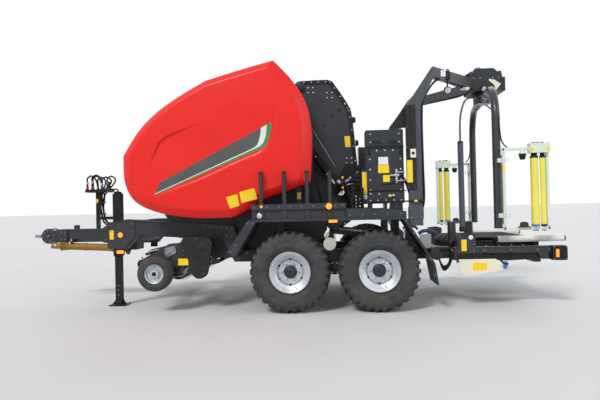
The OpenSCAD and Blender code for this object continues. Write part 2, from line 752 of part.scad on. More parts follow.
module film_rack() {
    color(frame_grey) at_axles() {
        // Floor, rail and recessed channel
        block([rack_x[0], -rack_y[1], rack_floor_z[0]], [rack_shelf_x, -rack_y[0], rack_floor_z[1]]);
        block([rack_x[0], -rack_y[1], rack_rail_z[0]], [rack_x[1], -stake_y + stake_r, rack_rail_z[1]]);
        block([rack_x[0], -stake_y + 5, rack_floor_z[1]], [rack_x[1], -stake_y + stake_r, rack_rail_z[0]]);
        for (x = stake_x) translate([x, -stake_y, rack_rail_z[1]]) cylinder(r = stake_r, h = stake_top - rack_rail_z[1]);
        // Front and rear struts and the flap behind the rear wheel
        plate([[-1240, 716], [-1149, 644], [-890, 1060], [-940, 1090], [-980, 1090]], -rack_y[1], -rack_y[0]);
        plate([[790, 1060], [826, 1060], [1133, 560], [1172, 311], [1150, 311], [1105, 560]], -rack_y[1], -rack_y[0] - 40);
        plate([[150, 1090], [826, 1090], [826, 1150], [560, 1195], [150, 1195]], -rack_y[1], -rack_y[1] + 12);
        // Foot on the rear chassis beam
        block([-700, -rack_y[0], 1060], [-600, -low_beam_in, 1090]);
        block([-700, -low_beam_out, low_beam_z[1]], [-600, -low_beam_in, 1060]);
        block([700, -rack_y[0], 1060], [800, -low_beam_in, 1090]);
        block([700, -low_beam_out, low_beam_z[1]], [800, -low_beam_in, 1060]);
    }
}

module cabinet() {
    color(dark_grey) at_axles() {
        difference() {
            block([cabinet_x[0], -cabinet_y[1], cabinet_z[0]], [cabinet_x[1], -cabinet_y[0], cabinet_split_z]);
            block([cabinet_x[0] + cabinet_wall, -cabinet_y[1] + cabinet_wall, cabinet_z[0] + cabinet_wall],
                [cabinet_x[1] - cabinet_wall, -cabinet_y[0] - cabinet_wall, cabinet_split_z + 1]);
        }
        for (x = [cabinet_x[0] + 20, cabinet_x[1] - 60])
            block([x, -cabinet_y[1] + 20, rack_floor_z[1]], [x + 40, -cabinet_y[0] - 20, cabinet_z[0]]);
        // Hinge rod with its two lugs
        rod([cabinet_x[0] + 40, -lid_hinge[0], lid_hinge[1]], [cabinet_x[1] - 40, -lid_hinge[0], lid_hinge[1]], lid_hinge_r);
        for (x = [cabinet_x[0] + 40, cabinet_x[1] - 60])
            block([x, -cabinet_y[0], lid_hinge[1] - 30], [x + 20, -lid_hinge[0] + 4, lid_hinge[1]]);
    }
}

module cabinet_lid() {
    color(dark_grey) at_axles() difference() {
        union() {
            difference() {
                block([cabinet_x[0], -cabinet_y[1], cabinet_split_z + seat_gap], [cabinet_x[1], -cabinet_y[0], cabinet_z[1]]);
                block([cabinet_x[0] + cabinet_wall, -cabinet_y[1] + cabinet_wall, cabinet_split_z],
                    [cabinet_x[1] - cabinet_wall, -cabinet_y[0] - cabinet_wall, cabinet_z[1] - cabinet_wall]);
            }
            // Knuckles
            for (x = [cabinet_x[0] + 90, cabinet_x[1] - 130]) {
                rod([x, -lid_hinge[0], lid_hinge[1]], [x + 40, -lid_hinge[0], lid_hinge[1]], lid_hinge_r + 5);
                block([x, -cabinet_y[0] - 2, cabinet_split_z + seat_gap], [x + 40, -lid_hinge[0] - 2, cabinet_split_z + 30]);
            }
        }
        rod([cabinet_x[0], -lid_hinge[0], lid_hinge[1]], [cabinet_x[1], -lid_hinge[0], lid_hinge[1]], lid_hinge_r + pin_gap);
    }
}

module valve_block() {
    color(black) at_axles() {
        block([240, -1050, 1090], [345, -840, 1370]);
        for (i = [0 : 4]) block([225, -1070, 1370 + i * 48], [345, -840, 1388 + i * 48]);
        block([255, -1030, 1370], [330, -860, 1600]);
    }
}

module bale_ramp() {
    color(steel_grey) at_axles() {
        plate([[-50, 600], [0, 600], [0, 915], [-50, 920]], -low_beam_in, low_beam_in);
        plate([[-20, 885], [760, 800], [760, 830], [-20, 915]], -600, 600);
        plate([[690, 600], [750, 600], [750, 812], [690, 818]], -low_beam_in, low_beam_in);
    }
}

// Section of the arch's tube: a thin slice with its middle at a place on the left
module arch_slice(at, size) {
    translate([at[0], -at[1], at[2]] - size / 2) cube(size);
}

module arch() {
    color(steel_grey) at_axles() {
        both_sides() {
            block([880, -arch_shoulder[1] - arch_w / 2, 1050], [1030, -arch_shoulder[1] + arch_w / 2, 2380]);
            hull() {
                arch_slice(arch_shoulder, [150, arch_w, 20]);
                arch_slice(arch_elbow, [20, arch_w, 120]);
            }
            hull() {
                arch_slice(arch_elbow, [20, arch_w, 120]);
                arch_slice(arch_nose, [20, arch_w, 130]);
            }
            // Foot out from the rear beam, cut off where the stop arms and dispensers come round
            translate([0, 0, 980]) linear_extrude(75) polygon([
                [880, -arch_shoulder[1] - arch_w / 2], [1030, -arch_shoulder[1] - arch_w / 2],
                [1030, -sqrt(pow(turn_clear_r, 2) - pow(wrap_x - 1030, 2))], [arch_foot_x, -low_beam_in], [880, -low_beam_in]
            ]);
            plate([[880, low_beam_z[1]], [1030, low_beam_z[1]], [1030, stop_arm_z[0] - 80], [arch_foot_x, stop_arm_z[0] - 10],
                   [arch_foot_x, 1000], [880, 1000]], -low_beam_out, -low_beam_in);
        }
        block([arch_nose[0] - 20, -arch_nose[1] - arch_w / 2, 2725], [arch_nose[0] + 10, arch_nose[1] + arch_w / 2, 2855]);
    }
}

module arch_guards() {
    color(black) at_axles() both_sides() {
        block([850, -arch_shoulder[1] - arch_w / 2 - 16, 1395], [965, -arch_shoulder[1] - arch_w / 2, 2370]);
        plate([[663, 2115], [880, 2115], [880, 2380], [831, 2332]], -arch_shoulder[1] - 10, -arch_shoulder[1] + 2);
    }
}

module wrap_head() {
    color(dark_grey) at_axles() {
        block([1850, -220, 2690], [2240, 220, 2900]);
        plate([[1850, 2900], [2240, 2900], [2140, 2990], [1900, 2990]], -200, 200);
        block([2240, -160, 2700], [2300, 160, 2880]);
        translate([wrap_x, 0, bow_top_z + 55]) cylinder(r = 120, h = 2691 - bow_top_z - 55);
        translate([wrap_x, 0, bow_top_z - 34]) cylinder(r = hub_pin_r, h = 100);
    }
}

// Half of the wrapping bow, towards -Y: out from the axis, round the bend and down
module half_bow(r) {
    bend = arc([-bow_r + bow_bend_r, bow_top_z - bow_bend_r], bow_bend_r, 90, 180, 8);
    path = concat([[0, -80, bow_top_z]], [for (p = bend) [0, p[0], p[1]]], [[0, -bow_r, bow_foot_z]]);
    sweep(path, r, 20, [1, 0, 0]);
}

module half_stop_arm() {
    rod([stop_arm[0], stop_arm[1], stop_arm_z[0]], [stop_arm[0], stop_arm[1], stop_arm_z[1]], stop_arm_r);
    path = curve3([[stop_arm[0], stop_arm[1], stop_arm_z[1] - 30], [stop_arm[0], stop_arm[1], stop_arm_z[1] + 60],
        [-520, -1000, 2230], [-420, -800, 2450], [-250, -450, bow_top_z - 40], [0, -90, bow_top_z]], 3);
    sweep(path, 11, 8, [1, 0, 0]);
}

module wrap_bow() {
    color(steel_grey) at_axles() translate([wrap_x, 0, 0]) difference() {
        union() {
            translate([0, 0, bow_top_z - 50]) cylinder(r = 110, h = 100);
            for (a = [0, 180]) rotate([0, 0, a]) {
                rotate([0, 0, bow_turn]) half_bow(bow_tube_r);
                half_stop_arm();
            }
        }
        translate([0, 0, bow_top_z - 40]) cylinder(r = hub_pin_r + pin_gap, h = 100);
    }
}

module dispenser_frame() {
    b = disp_bar / 2;
    difference() {
        block([disp_x[0] - b, disp_y - b, disp_z[0] - b], [disp_x[1] + b, disp_y + b, disp_z[1] + b]);
        block([disp_x[0] + b, disp_y - b - 1, disp_z[0] + b], [disp_x[1] - b, disp_y + b + 1, disp_z[1] - b]);
    }
    // Gearbox on top and the film reel's cones
    block([200, disp_y - 60, disp_z[1] + b], [415, disp_y + 45, disp_z[1] + b + 45]);
    translate([130, disp_y, disp_z[1] - 70]) cylinder(r1 = 40, r2 = 22, h = 60);
    translate([130, disp_y, disp_z[0] + b]) cylinder(r1 = 50, r2 = 30, h = 50);
    // Brackets to the bow's tube
    for (z = [1050, 1680]) block([disp_x[0] - 60, disp_y + b, z], [disp_x[0] + 25, disp_y + b + 50, z + 50]);
}

module dispenser_at(turn) {
    color(pale_green) at_axles() translate([wrap_x, 0, 0]) rotate([0, 0, turn]) difference() {
        dispenser_frame();
        rotate([0, 0, bow_turn]) half_bow(bow_tube_r + seat_gap);
    }
}

module film_roller_at(turn, x, r) {
    low = disp_z[0] + disp_bar / 2 + seat_gap;
    high = disp_z[1] - disp_bar / 2 - seat_gap;
    color(film_yellow) at_axles() translate([wrap_x, 0, 0]) rotate([0, 0, turn]) translate([x, disp_y, 0]) {
        translate([0, 0, film_roller_z]) cylinder(r = r, h = film_roller_len);
        translate([0, 0, low]) cylinder(r = 12, h = high - low);
    }
}

module rear_frame() {
    color(dark_grey) at_axles() {
        both_sides() {
            block([1400, -1010, 638], [2520, -940, 707]);
            block([1400, -1010, low_beam_z[0]], [1480, -low_beam_in, 638]);
            plate([[1420, 530], [1650, 560], [1650, 860], [1440, 870]], -1022, -1010);
            // Arm, lug and pin of the table
            block([2400, -1010, 560], [2480, -715, 638]);
            block([2400, -745, 500], [2480, -715, 650]);
            shaft_y(table_pivot, 20, -745, -660);
        }
        block([2400, -745, 500], [2480, 745, 550]);
    }
}

// Panels under the rear frame, on the outside
module film_guards() {
    color(pale_green) at_axles() both_sides()
        plate([[1374, 546], [1447, 301], [1905, 387], [1772, 539], [1640, 640], [1430, 640]], -1034, -1022);
}

module table_frame() {
    color(black) at_axles() both_sides() {
        difference() {
            plate([[1480, 690], [1500, 655], [2380, 640], [2400, 588], [2470, 588], [2480, 760], [1500, 760]], -700, -670);
            shaft_y(table_pivot, 20 + pin_gap, -701, -669);
        }
        // Side roller and its carriers
        rod([side_roller_x[0], -side_roller_y, side_roller_z], [side_roller_x[1], -side_roller_y, side_roller_z], side_roller_r);
        block([side_roller_x[0] - 12, -side_roller_y - 20, 700], [side_roller_x[0], -670, side_roller_z + 10]);
        block([2380, -side_roller_y - 10, 700], [2400, -670, side_roller_z - side_roller_r + 5]);
    }
}

module table_belts() {
    color(black) at_axles() {
        for (x = table_rollers_x) {
            shaft_y([x, table_roller_z], table_roller_r, -table_half_w, table_half_w);
            shaft_y([x, table_roller_z], 28, -670, 670);
        }
        for (i = [-1.5 : 1 : 1.5]) difference() {
            plate(concat(arc([table_rollers_x[0], table_roller_z], table_roller_r + 8, 90, 270, 12),
                arc([table_rollers_x[1], table_roller_z], table_roller_r + 8, -90, 90, 12)), i * 300 - 130, i * 300 + 130);
            plate([[table_rollers_x[0], table_roller_z - table_roller_r + 1], [table_rollers_x[1], table_roller_z - table_roller_r + 1],
                [table_rollers_x[1], table_roller_z + table_roller_r - 1], [table_rollers_x[0], table_roller_z + table_roller_r - 1]],
                i * 300 - 140, i * 300 + 140);
        }
    }
}

module transfer_fork() {
    color(frame_grey) at_axles() difference() {
        union() {
            shaft_y(fork_pivot, 35, -560, 560);
            for (y = [-480, 400]) plate([[1345, 665], [1330, 620], [900, 700], [800, 790], [830, 800], [920, 740]], y, y + 80);
        }
        both_sides() shaft_y(fork_pivot, 15 + pin_gap, -561, -505);
    }
}

module lamps() {
    color(amber) at_axles() both_sides() {
        block([2520, -1060, 520], [2700, -940, 705]);
    }
}

drawbar();
towing_eye();
chassis();
axle_beams();
jack_sleeve();
jack_leg();
gearbox();
drive_shaft();
hose_rack();
hoses();
chamber_sides();
chamber_rollers();
net_box();
front_hood();
tyre_at(-1, -1);  // tyre_front_left
tyre_at(-1, 1);  // tyre_front_right
tyre_at(1, -1);  // tyre_rear_left
tyre_at(1, 1);  // tyre_rear_right
rim_at(-1, -1);  // rim_front_left
rim_at(-1, 1);  // rim_front_right
rim_at(1, -1);  // rim_rear_left
rim_at(1, 1);  // rim_rear_right
side_cover();  // cover_left
mirror([0, 1, 0]) side_cover();  // cover_right
tailgate();
tailgate_rollers();
tailgate_barrels();
tailgate_rods();
feed_channel();
feed_rotor();
pickup_frame();
pickup_reel();
crop_roller();
gauge_wheel(-1);  // gauge_wheel_left
gauge_wheel(1);  // gauge_wheel_right
drive_cover();
film_rack();  // film_rack_left
mirror([0, 1, 0]) film_rack();  // film_rack_right
cabinet();  // cabinet_left
mirror([0, 1, 0]) cabinet();  // cabinet_right
cabinet_lid();  // cabinet_lid_left
mirror([0, 1, 0]) cabinet_lid();  // cabinet_lid_right
valve_block();
bale_ramp();
arch();
arch_guards();
wrap_head();
wrap_bow();
dispenser_at(0);  // dispenser_left
dispenser_at(180);  // dispenser_right
film_roller_at(0, big_roller_x, film_roller_big_r);  // film_roller_left_big
film_roller_at(0, small_roller_x, film_roller_small_r);  // film_roller_left_small
film_roller_at(180, big_roller_x, film_roller_big_r);  // film_roller_right_big
film_roller_at(180, small_roller_x, film_roller_small_r);  // film_roller_right_small
rear_frame();
film_guards();
table_frame();
table_belts();
transfer_fork();
lamps();
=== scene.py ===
"""Looks of a round baler with a bale wrapper on one tandem-axle chassis.

The tables are in millimetres: x from the middle between the two axles, towards the wrapper, y to the
machine's right-hand side and z up from the ground, as in the solids' source. mm() turns a place into
metres in the frame's own axes. A piece with a side has its y outwards from the middle plane instead.
"""
import math

import bmesh
import bpy
import numpy as np
from mathutils import Matrix, Vector


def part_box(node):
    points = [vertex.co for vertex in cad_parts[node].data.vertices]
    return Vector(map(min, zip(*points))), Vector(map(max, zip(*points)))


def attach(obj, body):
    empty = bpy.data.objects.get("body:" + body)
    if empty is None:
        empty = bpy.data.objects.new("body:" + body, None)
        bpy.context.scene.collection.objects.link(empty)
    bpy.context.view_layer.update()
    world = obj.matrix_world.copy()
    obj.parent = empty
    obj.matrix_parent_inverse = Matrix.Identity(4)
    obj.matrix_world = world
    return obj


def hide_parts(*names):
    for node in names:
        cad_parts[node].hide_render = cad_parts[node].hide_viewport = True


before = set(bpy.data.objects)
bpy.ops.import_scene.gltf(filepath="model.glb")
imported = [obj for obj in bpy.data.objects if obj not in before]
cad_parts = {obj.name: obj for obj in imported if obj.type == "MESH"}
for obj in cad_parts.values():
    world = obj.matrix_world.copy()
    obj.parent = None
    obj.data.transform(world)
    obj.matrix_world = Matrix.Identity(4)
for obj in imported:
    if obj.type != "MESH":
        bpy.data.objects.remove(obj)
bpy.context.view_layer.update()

tandem_x = (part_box("tyre_front_left")[0].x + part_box("tyre_rear_left")[1].x) / 2
wrap_x = 2030
OUT = (0, 1, 0)
UP = (0, 0, 1)
both = (("left", -1), ("right", 1))


def mm(x, y, z):
    """A place in the tables' millimetres as metres in the frame."""
    return Vector((x / 1000 + tandem_x, y / 1000, z / 1000))


# Materials

def srgb(r, g, b):
    """A screen colour, 0 to 255, as the linear colour that a shader takes."""
    def linear(c):
        c /= 255
        return c / 12.92 if c <= 0.04045 else ((c + 0.055) / 1.055) ** 2.4
    return (linear(r), linear(g), linear(b), 1.0)


def shade(colour, amount):
    """A colour made darker or lighter."""
    return tuple(min(1.0, c * amount) for c in colour[:3]) + (1.0,)


class Shader:
    """A node material under construction."""

    def __init__(self, name):
        self.material = bpy.data.materials.new(name)
        self.material.use_nodes = True
        self.tree = self.material.node_tree
        self.bsdf = self.tree.nodes["Principled BSDF"]
        self.place = self.node("ShaderNodeTexCoord").outputs["Object"]

    def feed(self, sockets, inputs):
        """Link or set a node's inputs, each by its name or number."""
        for key, value in inputs.items():
            if isinstance(value, bpy.types.NodeSocket):
                self.tree.links.new(value, sockets[key])
            else:
                sockets[key].default_value = value

    def node(self, kind, inputs=None, **settings):
        made = self.tree.nodes.new(kind)
        for key, value in settings.items():
            setattr(made, key, value)
        self.feed(made.inputs, inputs or {})
        return made

    def noise(self, scale, detail=4.0, rough=0.55, stretch=None):
        place = self.place
        if stretch:
            place = self.node("ShaderNodeMapping", {"Scale": stretch, "Vector": place}).outputs["Vector"]
        inputs = {"Scale": scale, "Detail": detail, "Roughness": rough, "Vector": place}
        return self.node("ShaderNodeTexNoise", inputs).outputs["Fac"]

    def ramp(self, value, low, high, to_low=0.0, to_high=1.0):
        inputs = {"From Min": low, "From Max": high, "To Min": to_low, "To Max": to_high, "Value": value}
        return self.node("ShaderNodeMapRange", inputs, interpolation_type="SMOOTHSTEP").outputs["Result"]

    def times(self, a, b):
        return self.node("ShaderNodeMath", {0: a, 1: b}, operation="MULTIPLY").outputs[0]

    def plus(self, a, b):
        return self.node("ShaderNodeMath", {0: a, 1: b}, operation="ADD").outputs[0]

    def mix(self, share, a, b):
        return self.node("ShaderNodeMix", {"Factor": share, 6: a, 7: b}, data_type="RGBA").outputs[2]

    def upward(self, vector):
        return self.node("ShaderNodeSeparateXYZ", {0: vector}).outputs["Z"]

    def bump(self, value, distance):
        made = self.node("ShaderNodeBump", {"Distance": distance, "Strength": 1.0, "Height": value})
        self.feed(self.bsdf.inputs, {"Normal": made.outputs["Normal"]})

    def surface(self, inputs):
        self.feed(self.bsdf.inputs, inputs)
        return self.material


road_dust = srgb(142, 137, 129)


def painted(name, colour, rough=0.36, coat=0.0, spread=0.10, dust=0.25, peel=0.00004, gloss=0.5):
    """Paint or plastic: cloudy colour, dust low down and on top, a fine skin in the bump."""
    s = Shader(name)
    clouds = s.ramp(s.noise(2.4, detail=6), 0.3, 0.7)
    tone = s.mix(clouds, shade(colour, 1 - spread), shade(colour, 1 + spread))
    low = s.ramp(s.upward(s.place), 0.2, 1.3, 1.0, 0.15)
    top = s.ramp(s.upward(s.node("ShaderNodeNewGeometry").outputs["Normal"]), 0.1, 1.0, 0.45, 1.0)
    patches = s.ramp(s.noise(9.0, detail=8, rough=0.7), 0.38, 0.75)
    s.bump(s.noise(420.0, detail=2), peel)
    return s.surface({
        "Base Color": s.mix(s.times(s.times(low, top), s.times(patches, dust)), tone, road_dust),
        "Roughness": s.ramp(s.noise(26.0), 0.2, 0.8, rough * 0.82, rough * 1.22),
        "Specular IOR Level": gloss, "Coat Weight": coat, "Coat Roughness": 0.08,
    })


def bare_metal(name, colour, rough=0.32, grain=(1.0, 40.0, 1.0), spread=0.12):
    """Worked metal: streaks along one way in colour, roughness and bump."""
    s = Shader(name)
    streaks = s.noise(14.0, detail=7, rough=0.65, stretch=grain)
    s.bump(streaks, 0.00008)
    return s.surface({
        "Base Color": s.mix(streaks, shade(colour, 1 - spread), shade(colour, 1 + spread)),
        "Roughness": s.ramp(streaks, 0.25, 0.8, rough * 0.7, rough * 1.4), "Metallic": 1.0,
    })


def rubber(name, colour, rough=0.72, dust=0.5, fine=60.0, deep=0.0004):
    """Rubber: matt, with dust in large soft patches and a worn skin."""
    s = Shader(name)
    patches = s.ramp(s.noise(5.0, detail=8, rough=0.65), 0.35, 0.75)
    specks = s.ramp(s.noise(70.0, detail=6, rough=0.7), 0.45, 0.8)
    s.bump(s.noise(fine, detail=6, rough=0.6), deep)
    return s.surface({
        "Base Color": s.mix(s.times(s.plus(patches, s.times(specks, 0.4)), dust), colour, road_dust),
        "Roughness": s.ramp(patches, 0.0, 1.0, rough * 0.85, min(1.0, rough * 1.2)),
        "Specular IOR Level": 0.25,
    })


def lamp(name, colour, glow=0.0):
    """A lamp's lens: coloured plastic with the ribs of its optics in the bump."""
    s = Shader(name)
    ribs = s.node("ShaderNodeTexWave", {"Scale": 120.0, "Vector": s.place}, wave_type="BANDS",
                  bands_direction="X").outputs["Fac"]
    s.bump(ribs, 0.0006)
    return s.surface({
        "Base Color": s.mix(ribs, shade(colour, 0.82), shade(colour, 1.12)), "Roughness": 0.12,
        "Coat Weight": 0.6, "Emission Color": colour, "Emission Strength": glow,
    })


def sticker(name, colour):
    """A blank plate or sticker: even colour, slightly mottled and scuffed."""
    s = Shader(name)
    scuffs = s.ramp(s.noise(38.0, detail=7, rough=0.7), 0.55, 0.8)
    s.bump(scuffs, 0.00003)
    return s.surface({
        "Base Color": s.mix(scuffs, colour, shade(colour, 0.8)),
        "Roughness": s.ramp(s.noise(18.0), 0.3, 0.7, 0.3, 0.5),
    })


def silver_paint(name):
    """Silver wheel paint with dust gathered in the dish."""
    s = Shader(name)
    clouds = s.noise(7.0, detail=7)
    tone = s.mix(clouds, srgb(166, 172, 180), srgb(212, 218, 224))
    share = s.ramp(s.noise(16.0, detail=8, rough=0.7), 0.45, 0.85, 0.0, 0.5)
    s.bump(s.noise(300.0, detail=3), 0.00004)
    return s.surface({
        "Base Color": s.mix(share, tone, road_dust), "Roughness": s.ramp(clouds, 0.2, 0.8, 0.3, 0.46),
        "Metallic": 0.55,
    })


red = painted("cover_red", srgb(228, 24, 16), coat=0.12, spread=0.03, dust=0.02, peel=0.00002, gloss=0.35)
frame_grey = painted("frame_grey", srgb(50, 53, 58), rough=0.4, spread=0.08, dust=0.2, gloss=0.3)
dark_grey = painted("dark_grey", srgb(46, 50, 55), rough=0.42, spread=0.08, dust=0.16, gloss=0.3)
arch_grey = painted("arch_grey", srgb(68, 72, 80), rough=0.34, spread=0.06, dust=0.12, gloss=0.4)
bow_grey = painted("bow_grey", srgb(50, 52, 60), rough=0.3, coat=0.1, spread=0.06, dust=0.05, gloss=0.4)
black = painted("black", srgb(20, 21, 23), rough=0.45, dust=0.14, gloss=0.25)
plastic = painted("black_plastic", srgb(26, 26, 28), rough=0.5, spread=0.08, dust=0.2, peel=0.0001, gloss=0.3)
silver = silver_paint("wheel_silver")
steel = bare_metal("bare_steel", srgb(148, 150, 153), rough=0.38)
zinc = bare_metal("dulled_zinc", srgb(112, 114, 118), rough=0.34, grain=(30.0, 1.0, 1.0), spread=0.06)
bright = bare_metal("plated_steel", srgb(196, 198, 202), rough=0.26, grain=(30.0, 1.0, 1.0), spread=0.05)
chrome = bare_metal("ground_rod", srgb(222, 224, 226), rough=0.1, grain=(1.0, 1.0, 30.0), spread=0.03)
tyre_rubber = rubber("tyre_rubber", srgb(54, 55, 58), dust=0.2)
hose_rubber = rubber("hose_rubber", srgb(17, 17, 19), rough=0.45, dust=0.03, fine=200.0, deep=0.0001)
belt_rubber = rubber("belt_rubber", srgb(24, 25, 28), rough=0.62, dust=0.08, fine=160.0, deep=0.0005)
film_yellow = painted("film_roller_yellow", srgb(236, 224, 92), rough=0.3, coat=0.2, spread=0.04, dust=0.05)
pale_green = painted("pale_green", srgb(212, 225, 208), rough=0.34, spread=0.05, dust=0.08)
cream = painted("cream", srgb(232, 226, 202), rough=0.4, spread=0.05, dust=0.2)
end_blue = painted("end_cap_blue", srgb(58, 122, 190), rough=0.35, spread=0.06, dust=0.1)
dark_band = painted("dark_band", srgb(74, 74, 74), rough=0.3, coat=0.25, spread=0.12, dust=0.03)
white_paint = painted("white_paint", srgb(226, 226, 220), rough=0.35, spread=0.04, dust=0.12)
green_paint = painted("green_paint", srgb(0, 142, 80), rough=0.3, coat=0.25, spread=0.05, dust=0.03)
yellow_label = sticker("yellow_label", srgb(250, 208, 24))
white_label = sticker("white_label", srgb(228, 230, 232))
# Painted light: the speed sign's white glows, though it is no lamp, so that it shows bright in the shade under the
# beam
painted_glow_white = lamp("sign_white_painted_glow", srgb(236, 236, 222), glow=0.4)
navy = painted("navy_cover", srgb(46, 62, 100), rough=0.4, spread=0.08, dust=0.1)
amber_lamp = lamp("amber_lens", srgb(255, 150, 10), glow=0.9)
red_lamp = lamp("red_lens", srgb(200, 24, 14), glow=0.1)
clear_lamp = lamp("clear_lens", srgb(225, 232, 238))
cap_red = painted("cap_red", srgb(205, 34, 28), rough=0.4, dust=0.05)
cap_yellow = painted("cap_yellow", srgb(240, 200, 40), rough=0.4, dust=0.05)
cap_blue = painted("cap_blue", srgb(60, 110, 190), rough=0.4, dust=0.05)
shaft_guard = painted("shaft_guard", srgb(150, 108, 22), rough=0.5, spread=0.12, dust=0.4)


# Outlines and places

def curve(points, steps):
    """Points on a smooth curve through a list, of any number of coordinates, with both ends."""
    out = []
    for i in range(len(points) - 1):
        a = Vector(points[max(i - 1, 0)])
        b = Vector(points[i])
        c = Vector(points[i + 1])
        d = Vector(points[min(i + 2, len(points) - 1)])
        for k in range(steps):
            t = k / steps
            p = 2 * b + (c - a) * t + (2 * a - 5 * b + 4 * c - d) * t * t + (3 * b - a - 3 * c + d) * t ** 3
            out.append(tuple(0.5 * p))
    out.append(tuple(points[-1]))
    return out


def arc(centre, radius, start, end, steps):
    """Points of an arc in a plane, its angles in degrees."""
    turns = [math.radians(start + (end - start) * k / steps) for k in range(steps + 1)]
    return [(centre[0] + radius * math.cos(a), centre[1] + radius * math.sin(a)) for a in turns]


def link_outline(a, b, width, steps=8):
    """A flat bar with round ends between two places in x and z."""
    turn = math.degrees(math.atan2(b[1] - a[1], b[0] - a[0]))
    return arc(a, width / 2, turn + 90, turn + 270, steps) + arc(b, width / 2, turn - 90, turn + 90, steps)


def corner_round(points, radius, steps=6):
    """An outline with its corners rounded."""
    out = []
    n = len(points)
    for i in range(n):
        a, b, c = (Vector(points[(i + k) % n]) for k in (-1, 0, 1))
        cut_a = b + (a - b).normalized() * min(radius, (a - b).length / 2)
        cut_c = b + (c - b).normalized() * min(radius, (c - b).length / 2)
        for k in range(steps + 1):
            t = k / steps
            out.append(tuple(cut_a * (1 - t) ** 2 + b * 2 * t * (1 - t) + cut_c * t ** 2))
    return out


def rounded(a0, a1, b0, b1, radius):
    """A rectangle with rounded corners, from its range in each of two directions."""
    return corner_round([(a0, b0), (a1, b0), (a1, b1), (a0, b1)], radius)


def strip(line, thick):
    """The outline of a sheet that follows a line in x and z."""
    return line + [(x, z + thick) for x, z in reversed(line)]


def shrink(outline, middle, share):
    """An outline drawn in towards a middle."""
    return [tuple(Vector(p) + (Vector(middle) - Vector(p)) * share) for p in outline]


def spots(y, *pairs):
    """Places at one y, from pairs of x and z."""
    return [(x, y, z) for x, z in pairs]


def grid(xs, y, zs):
    """Places at one y, at each x and each z."""
    return [(x, y, z) for x in xs for z in zs]


def around(centre, radius, turns):
    """Places round a centre in the plane of x and z, at angles in degrees."""
    x, y, z = centre
    return [(x + radius * math.cos(a), y, z + radius * math.sin(a)) for a in map(math.radians, turns)]


def circle(centre, u, v, radius, sides):
    """Points of a circle round a centre, from one direction towards another."""
    turns = [2 * math.pi * k / sides for k in range(sides)]
    return [tuple(centre + (u * math.cos(a) + v * math.sin(a)) * radius) for a in turns]


# Forms

